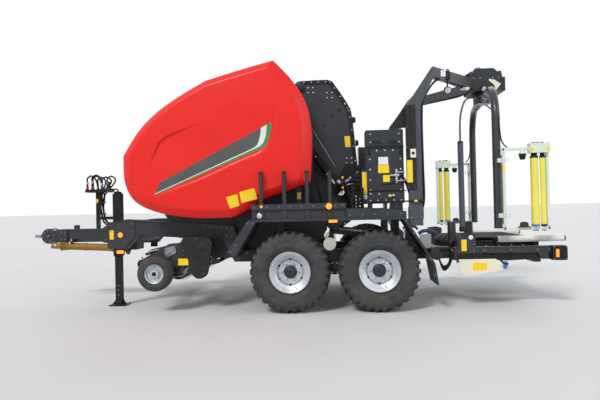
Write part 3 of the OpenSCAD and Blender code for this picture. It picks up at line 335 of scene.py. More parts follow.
class Piece:
    """One visible piece, put together from simple forms in the tables' millimetres.

    With a side, the y of its forms counts outwards from the middle plane. With a turn, its forms are
    placed from the wrapping axis and turned about it by so many degrees.
    """

    def __init__(self, material, side=1, turn=None):
        self.bm = bmesh.new()
        self.materials = []
        self.side = side
        self.turn = turn
        self.use(material)

    def use(self, material):
        """The material of the forms that follow."""
        if material not in self.materials:
            self.materials.append(material)
        self.current = self.materials.index(material)
        return self

    def place(self, x, y, z):
        """A place of this piece as one of the whole machine."""
        if self.turn is None:
            return (x, self.side * y, z)
        a = math.radians(self.turn)
        return (wrap_x + x * math.cos(a) - y * math.sin(a), x * math.sin(a) + y * math.cos(a), z)

    def faces(self, points, index_lists):
        """Faces on points of the whole machine."""
        verts = [self.bm.verts.new(mm(*p)) for p in points]
        for indices in index_lists:
            face = self.bm.faces.new([verts[i] for i in indices])
            face.material_index = self.current
        return self

    def loft(self, rings, caps=True):
        """Rings of equal length, on points of the whole machine, joined one to the next."""
        n = len(rings[0])
        lists = []
        for k in range(len(rings) - 1):
            for i in range(n):
                j = (i + 1) % n
                lists.append((k * n + i, k * n + j, (k + 1) * n + j, (k + 1) * n + i))
        if caps:
            lists.append(tuple(reversed(range(n))))
            lists.append(tuple(range((len(rings) - 1) * n, len(rings) * n)))
        return self.faces([p for ring in rings for p in ring], lists)

    def shell(self, rings):
        """Rings of this piece's places joined one to the next, closed at both ends."""
        return self.loft([[self.place(*p) for p in ring] for ring in rings])

    def plate(self, outline, y0, y1, radius=0):
        """A prism with its outline in x and z, its corners rounded where a radius is given."""
        if radius:
            outline = corner_round(outline, radius)
        return self.shell([[(x, y, z) for x, z in outline] for y in (y0, y1)])

    def pad(self, x0, x1, z0, z1, y0, y1, radius):
        """A block with its corners rounded in x and z."""
        return self.plate(rounded(x0, x1, z0, z1, radius), y0, y1)

    def slab(self, outline, z0, z1):
        """A prism with its outline in x and y."""
        return self.shell([[(x, y, z) for x, y in outline] for z in (z0, z1)])

    def box(self, x0, x1, y0, y1, z0, z1):
        return self.slab([(x0, y0), (x1, y0), (x1, y1), (x0, y1)], z0, z1)

    def tube(self, path, radius, sides=12):
        """A round tube along a path. radius is one number or one for each point."""
        path = [Vector(self.place(*p)) for p in path]
        radii = radius if isinstance(radius, list) else [radius] * len(path)
        side = (path[1] - path[0]).normalized().orthogonal().normalized()
        rings = []
        for i, point in enumerate(path):
            now = (path[min(i + 1, len(path) - 1)] - path[max(i - 1, 0)]).normalized()
            side = (side - now * side.dot(now)).normalized()
            rings.append(circle(point, side, now.cross(side), radii[i], sides))
        return self.loft(rings)

    def hose(self, points, radius, sides=10, steps=6):
        """A round tube along a smooth curve through a few points."""
        return self.tube(curve(points, steps), radius, sides)

    def lathe(self, profile, centre, sides, axis=OUT, caps=True):
        """A profile of (radius, distance along the axis) turned round an axis through centre."""
        axis = (Vector(self.place(*axis)) - Vector(self.place(0, 0, 0))).normalized()
        centre = Vector(self.place(*centre))
        side = axis.orthogonal().normalized()
        up = axis.cross(side)
        return self.loft([circle(centre + axis * d, side, up, r, sides) for r, d in profile], caps)

    def bolts(self, places, size, axis=OUT):
        """Hexagon heads on washers, their feet at the places and pointing along the axis."""
        washer, head = size * 0.95, size * 0.62
        for at in places:
            self.lathe([(washer, 0), (washer, size * 0.16)], at, 14, axis)
            self.lathe([(head, size * 0.1), (head, size * 0.62), (size * 0.5, size * 0.72)], at, 6, axis)
        return self

    def finish(self, name, body, slot, bevel=0.0, smooth=35, replaces=()):
        bmesh.ops.recalc_face_normals(self.bm, faces=self.bm.faces)
        mesh = bpy.data.meshes.new(name)
        self.bm.to_mesh(mesh)
        self.bm.free()
        for material in self.materials:
            mesh.materials.append(material)
        for polygon in mesh.polygons:
            polygon.use_smooth = True
        mesh.set_sharp_from_angle(angle=math.radians(smooth))
        piece = bpy.data.objects.new(name, mesh)
        bpy.context.scene.collection.objects.link(piece)
        if bevel:
            made = piece.modifiers.new("bevel", "BEVEL")
            made.width = bevel / 1000
            made.segments = 2
            made.limit_method = "ANGLE"
            made.angle_limit = math.radians(smooth)
        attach(piece, body)
        if replaces:
            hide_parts(*replaces)


# What the solids look like: the longest start of a node's name counts

solid_looks = (
    (frame_grey, "drawbar chassis pickup_frame bale_ramp rear_frame transfer_fork film_rack cabinet"),
    (dark_grey, "axle_beams gearbox chamber_sides tailgate feed_channel wrap_head"),
    (black, "jack hose_rack tailgate_barrels crop_roller valve_block table_frame lamps film_guards"),
    (plastic, "net_box front_hood drive_cover arch_guards"), (arch_grey, "arch"), (bow_grey, "wrap_bow"),
    (steel, "towing_eye chamber_rollers tailgate_rollers feed_rotor pickup_reel"), (chrome, "tailgate_rods"),
    (red, "cover"), (shaft_guard, "drive_shaft"), (hose_rubber, "hoses"), (belt_rubber, "table_belts"),
    (pale_green, "dispenser"), (tyre_rubber, "tyre gauge_wheel"), (silver, "rim"), (film_yellow, "film_roller"),
)
look_by_start = {start: look for look, starts in solid_looks for start in starts.split()}
for name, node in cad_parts.items():
    start = max((start for start in look_by_start if name.startswith(start)), key=len)
    for slot in node.material_slots:
        slot.link = "OBJECT"
        slot.material = look_by_start[start]


# Side covers: the stretches of their outline in x and z, with the steps of each

cover_line = (
    ([(-669, 2962), (-460, 2731), (-300, 2465), (-235, 2180), (-236, 1800), (-264, 1509)], 14),
    ([(-264, 1509), (-835, 1317), (-985, 1212), (-1186, 1118)], 16),
    ([(-1186, 1118), (-1650, 1122), (-2080, 1195), (-2360, 1335), (-2480, 1560), (-2495, 1880)], 16),
    ([(-2495, 1880), (-2300, 2175), (-2060, 2405), (-1760, 2600), (-1480, 2750)], 16),
    ([(-1480, 2750), (-1061, 2865), (-669, 2962)], 24),
)
cover_middle = (-1330, 2010)
cover_in_y = 820
cover_bevel_y = 1090
cover_y = 1185
# Where the bevel ends and the face begins, as a share of the way from the outline to the middle
cover_face = 0.12

# Recessed panel of a cover: x, z and depth of the step there
panel = [
    (-1450, 2262, 0), (-1647, 2196, 7), (-1819, 2136, 22), (-1965, 2076, 28), (-2045, 2000, 28),
    (-2072, 1936, 24), (-2127, 1809, 13), (-2156, 1680, 5), (-2147, 1523, 3), (-2114, 1387, 3),
    (-1898, 1452, 7), (-1504, 1595, 8), (-1111, 1766, 9), (-877, 1853, 11), (-786, 1913, 13),
    (-720, 2014, 12), (-652, 2191, 9), (-595, 2432, 2), (-640, 2600, 0), (-1000, 2560, 0)
]
panel_line = curve(panel, 5)
panel_outline = [p[:2] for p in panel_line[:-1]]
panel_blend = 900
# The crease low on a cover, from end to end, with the slope below it and the width of its bend
fold_line = ((-250, 1912), (-2150, 1290))
fold_slope = 0.085
fold_width = 60


def edges(points):
    """The start and end of each edge of a closed outline."""
    return zip(points, points[1:] + points[:1])


def distance(x, z, points):
    """Distance of many places from a closed outline, worked out in one go."""
    best = np.full(x.shape, 1e9)
    for (ax, az), (bx, bz) in edges(points):
        dx, dz = bx - ax, bz - az
        t = np.clip(((x - ax) * dx + (z - az) * dz) / max(dx * dx + dz * dz, 1e-9), 0, 1)
        best = np.minimum(best, np.hypot(x - ax - t * dx, z - az - t * dz))
    return best


def inside(x, z, points):
    """Which of many places lie inside a closed outline."""
    odd = np.zeros(x.shape, dtype=bool)
    for (ax, az), (bx, bz) in edges(points):
        if az != bz:
            odd ^= ((az > z) != (bz > z)) & (x < (bx - ax) * (z - az) / (bz - az) + ax)
    return odd


def smooth(low, high, value):
    t = np.clip((value - low) / (high - low), 0, 1)
    return t * t * (3 - 2 * t)


def cover_depth(x, z):
    """How far a cover's skin lies inside its foremost plane: domed, folded low down, with the panel."""
    dome = 26 * np.clip((z - 2000) / 900, 0, 2) ** 2 + 10 * np.clip((-1500 - x) / 900, 0, 2) ** 2
    (ax, az), (bx, bz) = fold_line
    below = ((z - az) * (bx - ax) - (x - ax) * (bz - az)) / math.hypot(bx - ax, bz - az)
    fold = fold_slope * (np.sqrt(below * below + fold_width ** 2) + below) / 2
    signed = np.where(inside(x, z, panel_outline), 1.0, -1.0) * distance(x, z, panel_outline)
    weight = np.zeros(x.shape)
    step = np.zeros(x.shape)
    for px, pz, depth in panel_line:
        near = 1 / ((x - px) ** 2 + (z - pz) ** 2 + panel_blend) ** 2
        weight += near
        step += near * depth
    return dome + fold + step / weight * smooth(-7, 10, signed)


def cover_skin():
    """Rings of a cover's shell, from its inner edge out round the bevel and in over the face."""
    outline = np.array([p for stretch, steps in cover_line for p in curve(stretch, steps)[:-1]])

    def drawn_in(share):
        return outline + (np.array(cover_middle) - outline) * share

    # Share of the way to the middle and y of the rings inside and along the wall
    wall = ((0.009, 1040), (0.009, cover_in_y + 2), (0.006, cover_in_y), (0.002, cover_in_y),
            (0, cover_in_y + 4), (0, 950), (0, 1060))
    # Share of the way to the middle and share of the height of the rings on the bevel
    bevel = ((0, 0), (0.001, 0.08), (0.005, 0.15), (0.013, 0.22), (0.094, 0.92), (0.102, 0.965), (0.111, 0.99))
    rings = [[(x, y, z) for x, z in drawn_in(share)] for share, y in wall]
    rise = cover_y - cover_depth(*drawn_in(cover_face).T) - cover_bevel_y
    for share, up in bevel:
        rings.append([(x, cover_bevel_y + r * up, z) for (x, z), r in zip(drawn_in(share), rise)])
    for share in np.concatenate([np.linspace(cover_face, 0.9, 96), [0.94, 0.97, 0.99]]):
        ring = drawn_in(share)
        rings.append([(x, cover_y - d, z) for (x, z), d in zip(ring, cover_depth(*ring.T))])
    return rings


def conform(piece, outline, lift=1.2, cell=30):
    """A sticker on a cover: an outline in x and z cut up finely and laid on the skin."""
    bm = bmesh.new()
    face = bm.faces.new([bm.verts.new((x, 0, z)) for x, z in outline])
    bmesh.ops.triangulate(bm, faces=[face])
    for axis, values in ((0, [p[0] for p in outline]), (2, [p[1] for p in outline])):
        normal = Vector((axis == 0, 0, axis == 2))
        at = math.floor(min(values) / cell) * cell + cell
        while at < max(values):
            geometry = bm.verts[:] + bm.edges[:] + bm.faces[:]
            bmesh.ops.bisect_plane(bm, geom=geometry, plane_co=normal * at, plane_no=normal)
            at += cell
    bm.verts.index_update()
    x, z = (np.array([v.co[axis] for v in bm.verts]) for axis in (0, 2))
    y = cover_y - cover_depth(x, z) + lift
    piece.faces([piece.place(*p) for p in zip(x, y, z)], [tuple(v.index for v in f.verts) for f in bm.faces])
    bm.free()


# The pointed band along a cover, with a white and a green line under it, and two blank labels
band_top = [(-2031, 1547), (-819, 2157)]
band_tip, white_tip, green_tip = (-2089, 1421), (-2093, 1412), (-2096, 1402)
band_end = curve([(-819, 2157), (-834, 2055), (-868, 1962), (-935, 1913)], 6)
white_end = curve([(-750, 2192), (-768, 2053), (-818, 1960), (-926, 1904)], 6)
green_end = curve([(-690, 2223), (-728, 2035), (-788, 1936), (-912, 1882)], 6)
cover_labels = ([(-1206, 1224), (-1095, 1256), (-1115, 1392), (-1250, 1358)],
                [(-1070, 1286), (-882, 1329), (-914, 1457), (-1091, 1415)])
for name, side in both:
    body = f"side_cover_{name}"
    skin = Piece(red, side).shell(cover_skin())
    skin.finish(f"cover_{name}_skin", body, "red", smooth=50, replaces=(f"cover_{name}",))
    stripe = Piece(dark_band, side)
    conform(stripe, [band_tip] + band_top + band_end[1:])
    stripe.use(white_paint)
    conform(stripe, band_end[::-1] + white_end + [white_tip, band_tip], 1.4)
    stripe.use(green_paint)
    conform(stripe, white_end[::-1] + green_end + [green_tip, white_tip], 1.6)
    stripe.finish(f"cover_{name}_stripe", body, "red")
    labels = Piece(yellow_label, side)
    for outline in cover_labels:
        conform(labels, corner_round(outline, 9))
    labels.finish(f"cover_{name}_labels", body, "red")


# Wheels

tyre_r = 472.5
tyre_y = 1020
axle_x = (-515, 515)

# Half of a tyre's section, from the bead out to the middle of the tread: radius, distance from the middle
tyre_section = [
    (217, 196), (243, 197), (250, 204), (262, 224), (282, 240), (300, 246), (306, 249), (312, 247),
    (330, 249.5), (352, 250), (356, 247), (362, 249), (388, 246), (408, 240), (424, 229), (437, 213),
    (445, 190), (449, 150), (452, 80), (453, 0)
]
lug_count = 30
# Shoulder lug by its stations: distance from the middle, radius of its foot and its top, half width, lag
lug_stations = (
    (38, 447, tyre_r, 15, 34), (95, 447, tyre_r, 19, 22), (165, 442, 471, 23, 9), (205, 432, 463, 25, 3),
    (228, 420, 448, 26, 0), (243, 404, 424, 25, 0), (248.5, 394, 402, 22, 0),
)
# Block of the middle row: distance from the middle and place along the tread
block_outline = ((-26, -30), (-30, 8), (0, 30), (26, 30), (30, -8), (0, -30))


def tyre(name, body, x, side):
    piece = Piece(tyre_rubber, side)
    section = tyre_section + [(r, -d) for r, d in tyre_section[-2::-1]]
    # Turned to the right on both sides, so that the seam at the bead stays where it is
    piece.lathe(section + [section[0]], (x, tyre_y, tyre_r), 120, (0, side, 0), caps=False)

    def on_tread(radius, out, turn):
        return (x + radius * math.cos(turn), tyre_y + side * out, tyre_r + radius * math.sin(turn))

    for half in (-1, 1):
        for k in range(lug_count):
            turn = 2 * math.pi * (k + (0.5 if half > 0 else 0)) / lug_count
            rings = []
            for out, foot, top, width, lag in lug_stations:
                corners = ((foot, 1.15), (top, 0.86), (top, -0.86), (foot, -1.15))
                rings.append([on_tread(r, half * out, turn + (side * lag + share * width) / tyre_r)
                              for r, share in corners])
            piece.shell(rings)
    for k in range(lug_count):
        turn = 2 * math.pi * (k + 0.25) / lug_count
        rings = []
        for r, grow in ((446, 1.12), (tyre_r, 1)):
            rings.append([on_tread(r, out * grow, turn + side * along * grow / tyre_r)
                          for out, along in block_outline])
        piece.shell(rings)
    piece.finish(name + "_tread", body, "tyre", bevel=2.2, smooth=38, replaces=(name,))


def wheel_trim(name, x, side):
    """Nuts on their cones, the hub's cap, the valve and balance weights, on the rim's outer side."""
    disc = (x, tyre_y + 112, tyre_r)
    nuts = Piece(bright, side)
    for at in around(disc, 102.5, range(0, 360, 60)):
        nuts.lathe([(19, 0), (17, 5), (14, 8)], at, 16).lathe([(12.5, 6), (12.5, 18), (10.5, 20)], at, 6)
        nuts.lathe([(7, 18), (7, 27), (5.5, 28)], at, 10)
    nuts.finish(name + "_nuts", name, "bare", bevel=0.8)
    hub = Piece(dark_grey, side)
    hub.lathe([(78, -1), (78, 5), (70, 12), (62, 14), (62, 37), (57, 43), (50, 46), (12, 49), (0.5, 49)],
              disc, 40)
    hub.bolts(around((x, tyre_y + 155, tyre_r), 53, range(30, 390, 60)), 9)
    hub.use(black).lathe([(13, 49), (13, 51), (9, 52.5)], disc, 20)
    hub.finish(name + "_hub_cap", name, "dark", bevel=1.0)
    ring = Piece(silver, side)
    for profile in ([(199, 156), (199, 163), (206, 171), (212, 168), (212, 156)],
                    [(241, 196), (241, 211), (236, 215), (231, 213), (226, 202), (226, 196)]):
        ring.lathe(profile, (x, tyre_y, tyre_r), 72, caps=False)
    valve = [around((x, tyre_y + out, tyre_r), r, [-70])[0] for r, out in ((190, 160), (184, 182), (170, 200))]
    ring.use(black).tube(valve, [6, 5, 4.5], 10).use(steel)
    for at in around((x, tyre_y + 208, tyre_r), 231, (35, 160, 285)):
        ring.lathe([(7, 0), (7, 6), (5, 8)], at, 10)
    ring.finish(name + "_rim_rings", name, "silver", bevel=0.8)


for end, x in zip(("front", "rear"), axle_x):
    for name, side in both:
        tyre(f"tyre_{end}_{name}", f"wheel_{end}_{name}", x, side)
        wheel_trim(f"wheel_{end}_{name}", x, side)

# Gauge wheels of the pickup
gauge = (-2110, 1150, 478)
gauge_section = [(112, 62), (124, 74), (150, 84), (176, 78), (192, 62), (196, 52)]
gauge_ribs = [(205, 50), (205, 30), (199, 27), (199, 21), (205, 18)]
gauge_rim = [(18.2, 60), (46, 60), (52, 52), (54, 14), (96, 22), (104, 56), (120, 66), (122, 60), (112, 50),
             (112, -50), (122, -60), (120, -66), (104, -56), (96, -4), (54, -8), (46, -60), (18.2, -60), (18.2, 60)]
for name, side in both:
    half = gauge_section + gauge_ribs
    wheel = Piece(tyre_rubber, side)
    wheel.lathe(half + [(r, -d) for r, d in reversed(half)] + half[:1], gauge, 72, caps=False)
    wheel.finish(f"gauge_{name}_tyre", f"gauge_{name}", "tyre", bevel=1.5, replaces=(f"gauge_wheel_{name}",))
    rim = Piece(silver, side).lathe(gauge_rim, gauge, 56, caps=False)
    rim.use(steel).bolts(around((-2110, 1168, 478), 76, range(20, 380, 72)), 9)
    rim.use(black).lathe([(24, 58), (24, 70), (18, 76), (0.5, 77)], gauge, 24)
    rim.finish(f"gauge_{name}_rim", f"gauge_{name}", "silver", bevel=1.0)


# Chassis, drawbar and jack

# How far out the faces of the drawbar, the front beams and the main frame lie
bar_y, beam_y, main_y = 90, 660, 740
beam_top = curve([(-2866, 1083), (-2490, 1098), (-1519, 1034), (-1396, 1025)], 6)
beam_low = curve([(-2645, 746), (-2491, 907), (-2200, 889), (-1523, 853), (-1396, 846)], 6)
for name, side in both:
    bolts = Piece(zinc, side).bolts(around((-3966, 85, 894), 76, range(12, 372, 45)), 13)
    bolts.lathe([(24, 0), (24, 8), (16, 16), (16, 24)], (-3966, 85, 894), 24)
    bolts.bolts(grid((-3780, -3730), 85, (945, 843)), 13)
    bolts.bolts(spots(bar_y, (-3150, 985), (-3150, 830), (-3060, 1030), (-2960, 1030), (-3040, 805),
                      (-2940, 800)), 13)
    bolts.bolts(spots(beam_y, (-2840, 1040), (-2840, 965), (-2840, 790), (-2740, 1050), (-2560, 1060),
                      (-2560, 960), (-1620, 1005), (-1560, 1000), (-1620, 890), (-1560, 885), (-1475, 990),
                      (-1420, 980)), 14)
    bolts.bolts(spots(main_y, (-1330, 985), (-1270, 975), (-1330, 890), (-1270, 870), (-1195, 760),
                      (-1195, 650)), 14)
    bolts.bolts(grid((-1080, -920, -760, 870, 960, 1050, 1330, 1370), main_y, (665,)), 13)
    bolts.finish(f"chassis_bolts_{name}", "machine", "bare", bevel=0.7)

    # Flanges and patches welded on the beams
    plates = Piece(frame_grey, side).plate(strip(beam_top, -12), 655, 672).plate(strip(beam_low, 12), 655, 672)
    plates.plate([(-2866, 745), (-2660, 745), (-2520, 915), (-2520, 1094), (-2866, 1080)], 655, 667, 30)
    plates.plate([(-1660, 862), (-1390, 846), (-1390, 1018), (-1660, 1036)], 655, 668, 20)
    plates.plate([(-1376, 842), (-1244, 566), (-1146, 566), (-1146, 682), (-1246, 1004), (-1376, 1018)],
                 736, 748, 18)
    plates.pad(860, 1090, 566, 694, 736, 746, 14).pad(-180, 180, 566, 694, 736, 746, 14)
    plates.finish(f"chassis_plates_{name}", "machine", "frame", bevel=1.5)

    marks = Piece(amber_lamp, side).lathe([(34, 6), (34, 13), (28, 18), (0.5, 20)], (-2716, beam_y, 918), 28)
    marks.pad(-2764, -2676, 722, 682, 664, 682, 7)
    marks.use(black).lathe([(40, 5), (40, 12), (34, 13)], (-2716, beam_y, 918), 28)
    marks.pad(-2772, -2668, 744, 674, 655, 668, 9)
    marks.use(yellow_label).pad(-2858, -2804, 979, 863, 667, 668.5, 5)
    marks.finish(f"front_marker_{name}", "machine", "lamp", bevel=1.0)

    # Bogie: pivot cap, brake chambers and their rods
    bogie = Piece(dark_grey, side)
    bogie.lathe([(85, 0), (85, 8), (78, 16), (50, 18), (44, 24), (0.5, 26)], (0, 770, tyre_r), 40)
    for x, lean in zip(axle_x, (1, -1)):
        bogie.lathe([(140, 0), (140, 44), (128, 56), (96, 60)], (x, 796, tyre_r), 48)
        can = (x + lean * 190, 842, 590)
        profile = [(34, 0), (62, 8), (66, 34), (70, 36), (70, 44), (66, 46), (60, 78), (24, 84)]
        bogie.lathe(profile, can, 32, (lean, 0, 0)).tube([can, (x + lean * 70, 842, 585)], 9)
        bogie.plate(link_outline((x + lean * 70, 588), (x, 480), 34), 838, 850)
        bogie.pad(x + lean * 186, x + lean * 198, 640, 540, 790, 880, 4)
    bogie.use(bright).bolts(around((0, 786, tyre_r), 64, range(0, 360, 60)), 9)
    bogie.finish(f"bogie_{name}", "machine", "dark", bevel=1.2)

hitch = Piece(steel)
hitch.lathe([(25.3, -20.5), (66, -20.5), (69, -14), (69, 14), (66, 20.5), (25.3, 20.5), (25.3, -20.5)],
            (-4130, 0, 894), 56, UP, caps=False)
hitch.tube([(-4098, 0, 894), (-4050, 0, 894), (-3990, 0, 894)], [40, 47, 58], 28)
hitch.finish("towing_eye_ring", "machine", "steel", bevel=2.0)

bar = Piece(frame_grey)
for y in (-65, 65):
    for z in (809, 979):
        bar.tube([(-3860, y, z), (-2892, y, z)], 7, 8)
bar.pad(-3640, -3560, 985, 1040, -8, 8, 12).plate([(-3100, 979), (-2892, 979), (-2892, 1058)], -10, 10)
bar.use(yellow_label).pad(-2975, -2910, 930, 860, -92, -90, 5)
bar.finish("drawbar_trim", "machine", "frame", bevel=1.2)

# Box of the controls on the left of the drawbar, with a blank label
box = Piece(plastic, -1).pad(-3080, -2950, 1005, 810, 190, 92, 14)
for z in (838, 976):
    box.pad(-3084, -2946, z + 5, z - 5, 194, 92, 3)
box.use(white_label).pad(-3052, -2978, 955, 895, 191.5, 190, 4)
box.use(bright).bolts(grid((-3068, -2962), 190, (822, 993)), 6)
box.finish("control_box", "machine", "plastic", bevel=1.5)

jack_x = -2800
jack = Piece(black, -1).lathe([(50, 0), (50, 18), (38, 30), (20, 34)], (jack_x, 515, 1448), 28, UP)
jack.tube([(jack_x, 515, 1478), (jack_x, 515, 1500), (-2806, 540, 1508), (-2860, 640, 1508)], 9)
jack.tube([(-2860, 640, 1508), (-2860, 640, 1588)], 8)
jack.use(plastic).lathe([(10, 0), (14, 10), (15, 60), (12, 84), (8, 88)], (-2860, 640, 1515), 18, UP)
jack.use(zinc).bolts(grid((jack_x - 28, jack_x + 28), 567, (700, 900, 960)), 9)
jack.finish("jack_crank", "machine", "black", bevel=1.0)
foot = Piece(black, -1)
for way in (-1, 1):
    foot.plate([(jack_x + way * 40, 14), (jack_x + way * 98, 14), (jack_x + way * 40, 90)], 520, 510)
foot.use(steel)
for z in (140, 200, 260):
    foot.lathe([(9, 0), (9, 2.5), (4, 3)], (jack_x, 555, z), 16)
foot.finish("jack_foot", "jack", "black", bevel=1.0)

# Drive shaft: ribbed bellows over both joints, yoke and safety chain
a = Vector((-3760, -150, 760))
b = Vector((-3010, -20, 712))
bellows = [point for k in range(7) for point in ((58 - 1.5 * k, 16 * k), (66 - 2.2 * k, 16 * k + 8))]
drive = Piece(shaft_guard).lathe([(49, -2)] + bellows + [(49, 118)], a, 32, b - a)
drive.lathe([(49, -118)] + [(50 + k, 8 * k - 118) for k in range(14)] + [(52, 0)], b, 32, b - a)
drive.lathe([(49, 300), (52, 304), (52, 350), (49, 354)], a, 32, b - a)
drive.finish("drive_shaft_guard", "machine", "plastic", bevel=0.8)
nose = Vector((-120, -20, 8))
yoke = Piece(steel)
yoke.lathe([(17.8, 2), (34, 2), (38, 8), (38, 40), (41, 44), (41, 58), (36, 62), (30, 96), (30, 122)],
           a + nose, 32, -nose, caps=False)
for way in (-1, 1):
    yoke.lathe([(16, 0), (16, 6), (10, 10)], a + Vector((-58, way * 34 - 10, 4)), 18, (0, way, 0))
yoke.finish("drive_shaft_yoke", "machine", "steel", bevel=1.0)
chain = Piece(bright)
hang = curve([(-3700, -140, 802), (-3665, -150, 780), (-3630, -158, 800), (-3602, -162, 848)], 5)
turns = [math.pi * k / 5 for k in range(11)]
for i, (x, y, z) in enumerate(hang):
    wide, deep = (2.4, 6) if i % 2 else (6, 2.4)
    chain.tube([(x + wide * math.cos(t), y + deep * math.cos(t), z + 11 * math.sin(t)) for t in turns], 2.4, 6)
chain.finish("drive_shaft_chain", "machine", "bare")


# Hoses to the tractor, parked on their rack: x, side and height of each one's plug, and its cap

parked = ((-3400, -1, 1640, cap_red), (-3330, -1, 1650, cap_red), (-3400, 1, 1645, cap_blue),
          (-3330, 1, 1630, cap_yellow), (-3190, -1, 1620, cap_blue), (-3190, 1, 1640, cap_yellow))
for number, (x, side, top, cap) in enumerate(parked):
    lane = number % 3
    lane_y = 34 + 9 * lane
    hose = Piece(hose_rubber, side)
    hose.hose([(x, 90, top - 4), (x + 4, 90, top + 46), (x + 62, 86.4, top + 78), (x + 122, 72, top + 6),
               (-3248 + 14 * lane, lane_y, 1440), (-3235, lane_y, 1260), (-3190, lane_y * 1.2, 1075),
               (-3080, 96, 1036), (-2950, 120 + 18 * lane, 1090), (-2830, 150 + 20 * lane, 1086),
               (-2640, 180 + 22 * lane, 1080)], 11, 12, 8)
    hose.use(bright).lathe([(13.5, 0), (13.5, 26), (17, 28), (17, 58), (12, 62)], (x, 90, top - 66), 18, UP)
    hose.lathe([(16, 0), (16, 18)], (x, 90, top - 34), 6, UP)
    hose.use(cap).lathe([(17, 0), (19, 4), (19, 34), (15, 40)], (x, 90, 1532), 20, UP)
    hose.finish(f"hose_{number + 1}", "machine", "rubber", bevel=0.6)
clips = Piece(black)
for z in (1180, 1340):
    clips.box(-3270, -3200, -62, 62, z, z + 22)
clips.box(-3100, -3060, -130, 130, 1064, 1072)
clips.use(bright).bolts([(-3200, 0, 1191), (-3200, 0, 1351)], 9, (1, 0, 0))
clips.use(yellow_label).pad(-3308, -3272, 1398, 1340, -31.5, -30, 4)
clips.finish("hose_clips", "machine", "black", bevel=1.0)


# Pickup

reel_x, reel_z = -1900, 520
crop_x, crop_z = -2352, 572
drive_outline = arc((-1745, 815), 85, 200, 95, 14) + arc((-1535, 805), 85, 90, -15, 14)
drive_outline += arc((-1610, 490), 95, -15, -150, 18) + [(-1760, 600)]
drive_screws = ((-1640, 872), (-1795, 735), (-1462, 650), (-1560, 450))
casing = Piece(plastic, -1).plate(drive_outline, 1062, 975)
casing.plate(shrink(drive_outline, (-1640, 680), 0.16), 1066, 1060)
for at in spots(1062, *drive_screws):
    casing.lathe([(17, 0), (17, 4), (12, 6)], at, 20)
casing.lathe([(52, 0), (52, 5), (46, 8), (22, 10), (20, 14), (0.5, 15)], (-1560, 1066, 770), 36)
casing.use(zinc).bolts(spots(1067, *drive_screws), 8)
casing.use(yellow_label).pad(-1862, -1740, 640, 560, 1064, 1062, 5)
casing.finish("drive_cover_casing", "pickup", "plastic", bevel=6, smooth=40, replaces=("drive_cover",))

skid_line = curve([(-1840, 436), (-1960, 420), (-2085, 424), (-2160, 470), (-2300, 536), (-2385, 560)], 5)
for name, side in both:
    # Carrier of the gauge wheel, its fork and its hole plate
    arm = Piece(steel, side).plate(link_outline((-2110, 478), (-1985, 700), 46), 980, 992)
    arm.plate([(-2040, 640), (-1905, 700), (-1920, 790), (-2050, 760)], 978, 988, 16)
    for k in range(5):
        arm.lathe([(8, 0), (8, 3)], (-2032 + 24 * k, 988, 694 + 12 * k), 14)
    arm.lathe([(24, -6), (24, 60), (16, 62)], (-2110, 1000, 478), 24)
    arm.use(zinc).bolts([(-1985, 992, 700)] + spots(988, (-1940, 765), (-2030, 745)), 13)
    arm.bolts(spots(975, (reel_x, reel_z), (crop_x, crop_z), (-2330, 650), (-2240, 700)), 13)
    arm.finish(f"pickup_arm_{name}", "pickup", "bare", bevel=1.2)
    hub = Piece(black, side)
    for x, z, r in ((reel_x, reel_z, 46), (crop_x, crop_z, 34)):
        hub.lathe([(r, -2), (r, 6), (r - 7, 11), (r * 0.45, 12), (r * 0.4, 18), (0.5, 18)], (x, 975, z), 30)
    # Skid under the plate's edge, folded out
    hub.plate(strip(skid_line, 9), 940, 998)
    hub.finish(f"pickup_hub_{name}", "pickup", "black", bevel=1.0)

# Coils of the tines on their bars, and the screw of each
half_coil = [(14.2, -11), (19, -10), (19, -5), (16, -4), (19, -3)]
coil_profile = half_coil + [(r, -d) for r, d in reversed(half_coil)]
for turn in range(5):
    coils = Piece(steel)
    a = math.radians(-72 * turn)
    towards = (-math.cos(a), 0, -math.sin(a))
    for i in range(28):
        y = -940 + (i + 1) * 2 * 940 / 29
        bar_at, screw_at = (around((reel_x, y, reel_z), r, [-72 * turn])[0] for r in (100, 82))
        coils.lathe(coil_profile, bar_at, 10, caps=False).lathe([(5, 0), (5, 3), (3, 4)], screw_at, 6, towards)
    coils.finish(f"tine_coils_{turn + 1}", "reel", "bare")

# Crop guard: crossbar with its curved rods over the pickup, and the roller's end discs
guard = Piece(black).tube([(-2290, -930, 690), (-2290, 930, 690)], 17, 16)
for i in range(18):
    y = -880 + i * 1760 / 17
    guard.hose([(-2290, y, 700), (-2240, y, 742), (-2120, y, 748), (-1990, y, 742), (-1880, y, 800)], 5, 8, 4)
guard.finish("crop_guard", "pickup", "black")
roller = Piece(black)
for y in range(-930, 931, 465):
    roller.lathe([(45, -8), (54, -7), (54, 7), (45, 8)], (crop_x, y, crop_z), 32, caps=False)
for y in range(-820, 821, 205):
    roller.lathe([(45, -2), (48, -1), (48, 1), (45, 2)], (crop_x, y, crop_z), 32, caps=False)
roller.finish("crop_roller_rings", "crop", "black")
lift = Piece(black)
for side in (-1, 1):
    lift.side = side
    lift.use(black).tube([(-1600, 716, 792), (-1740, 800, 788)], 26, 18)
    lift.tube([(-1740, 800, 788), (-1880, 954, 776)], 13, 14)
    lift.use(chrome).tube([(-1740, 800, 788), (-1820, 888, 781)], 14, 14)
lift.finish("pickup_rams", "pickup", "black", bevel=0.8)


# Film racks over the wheels

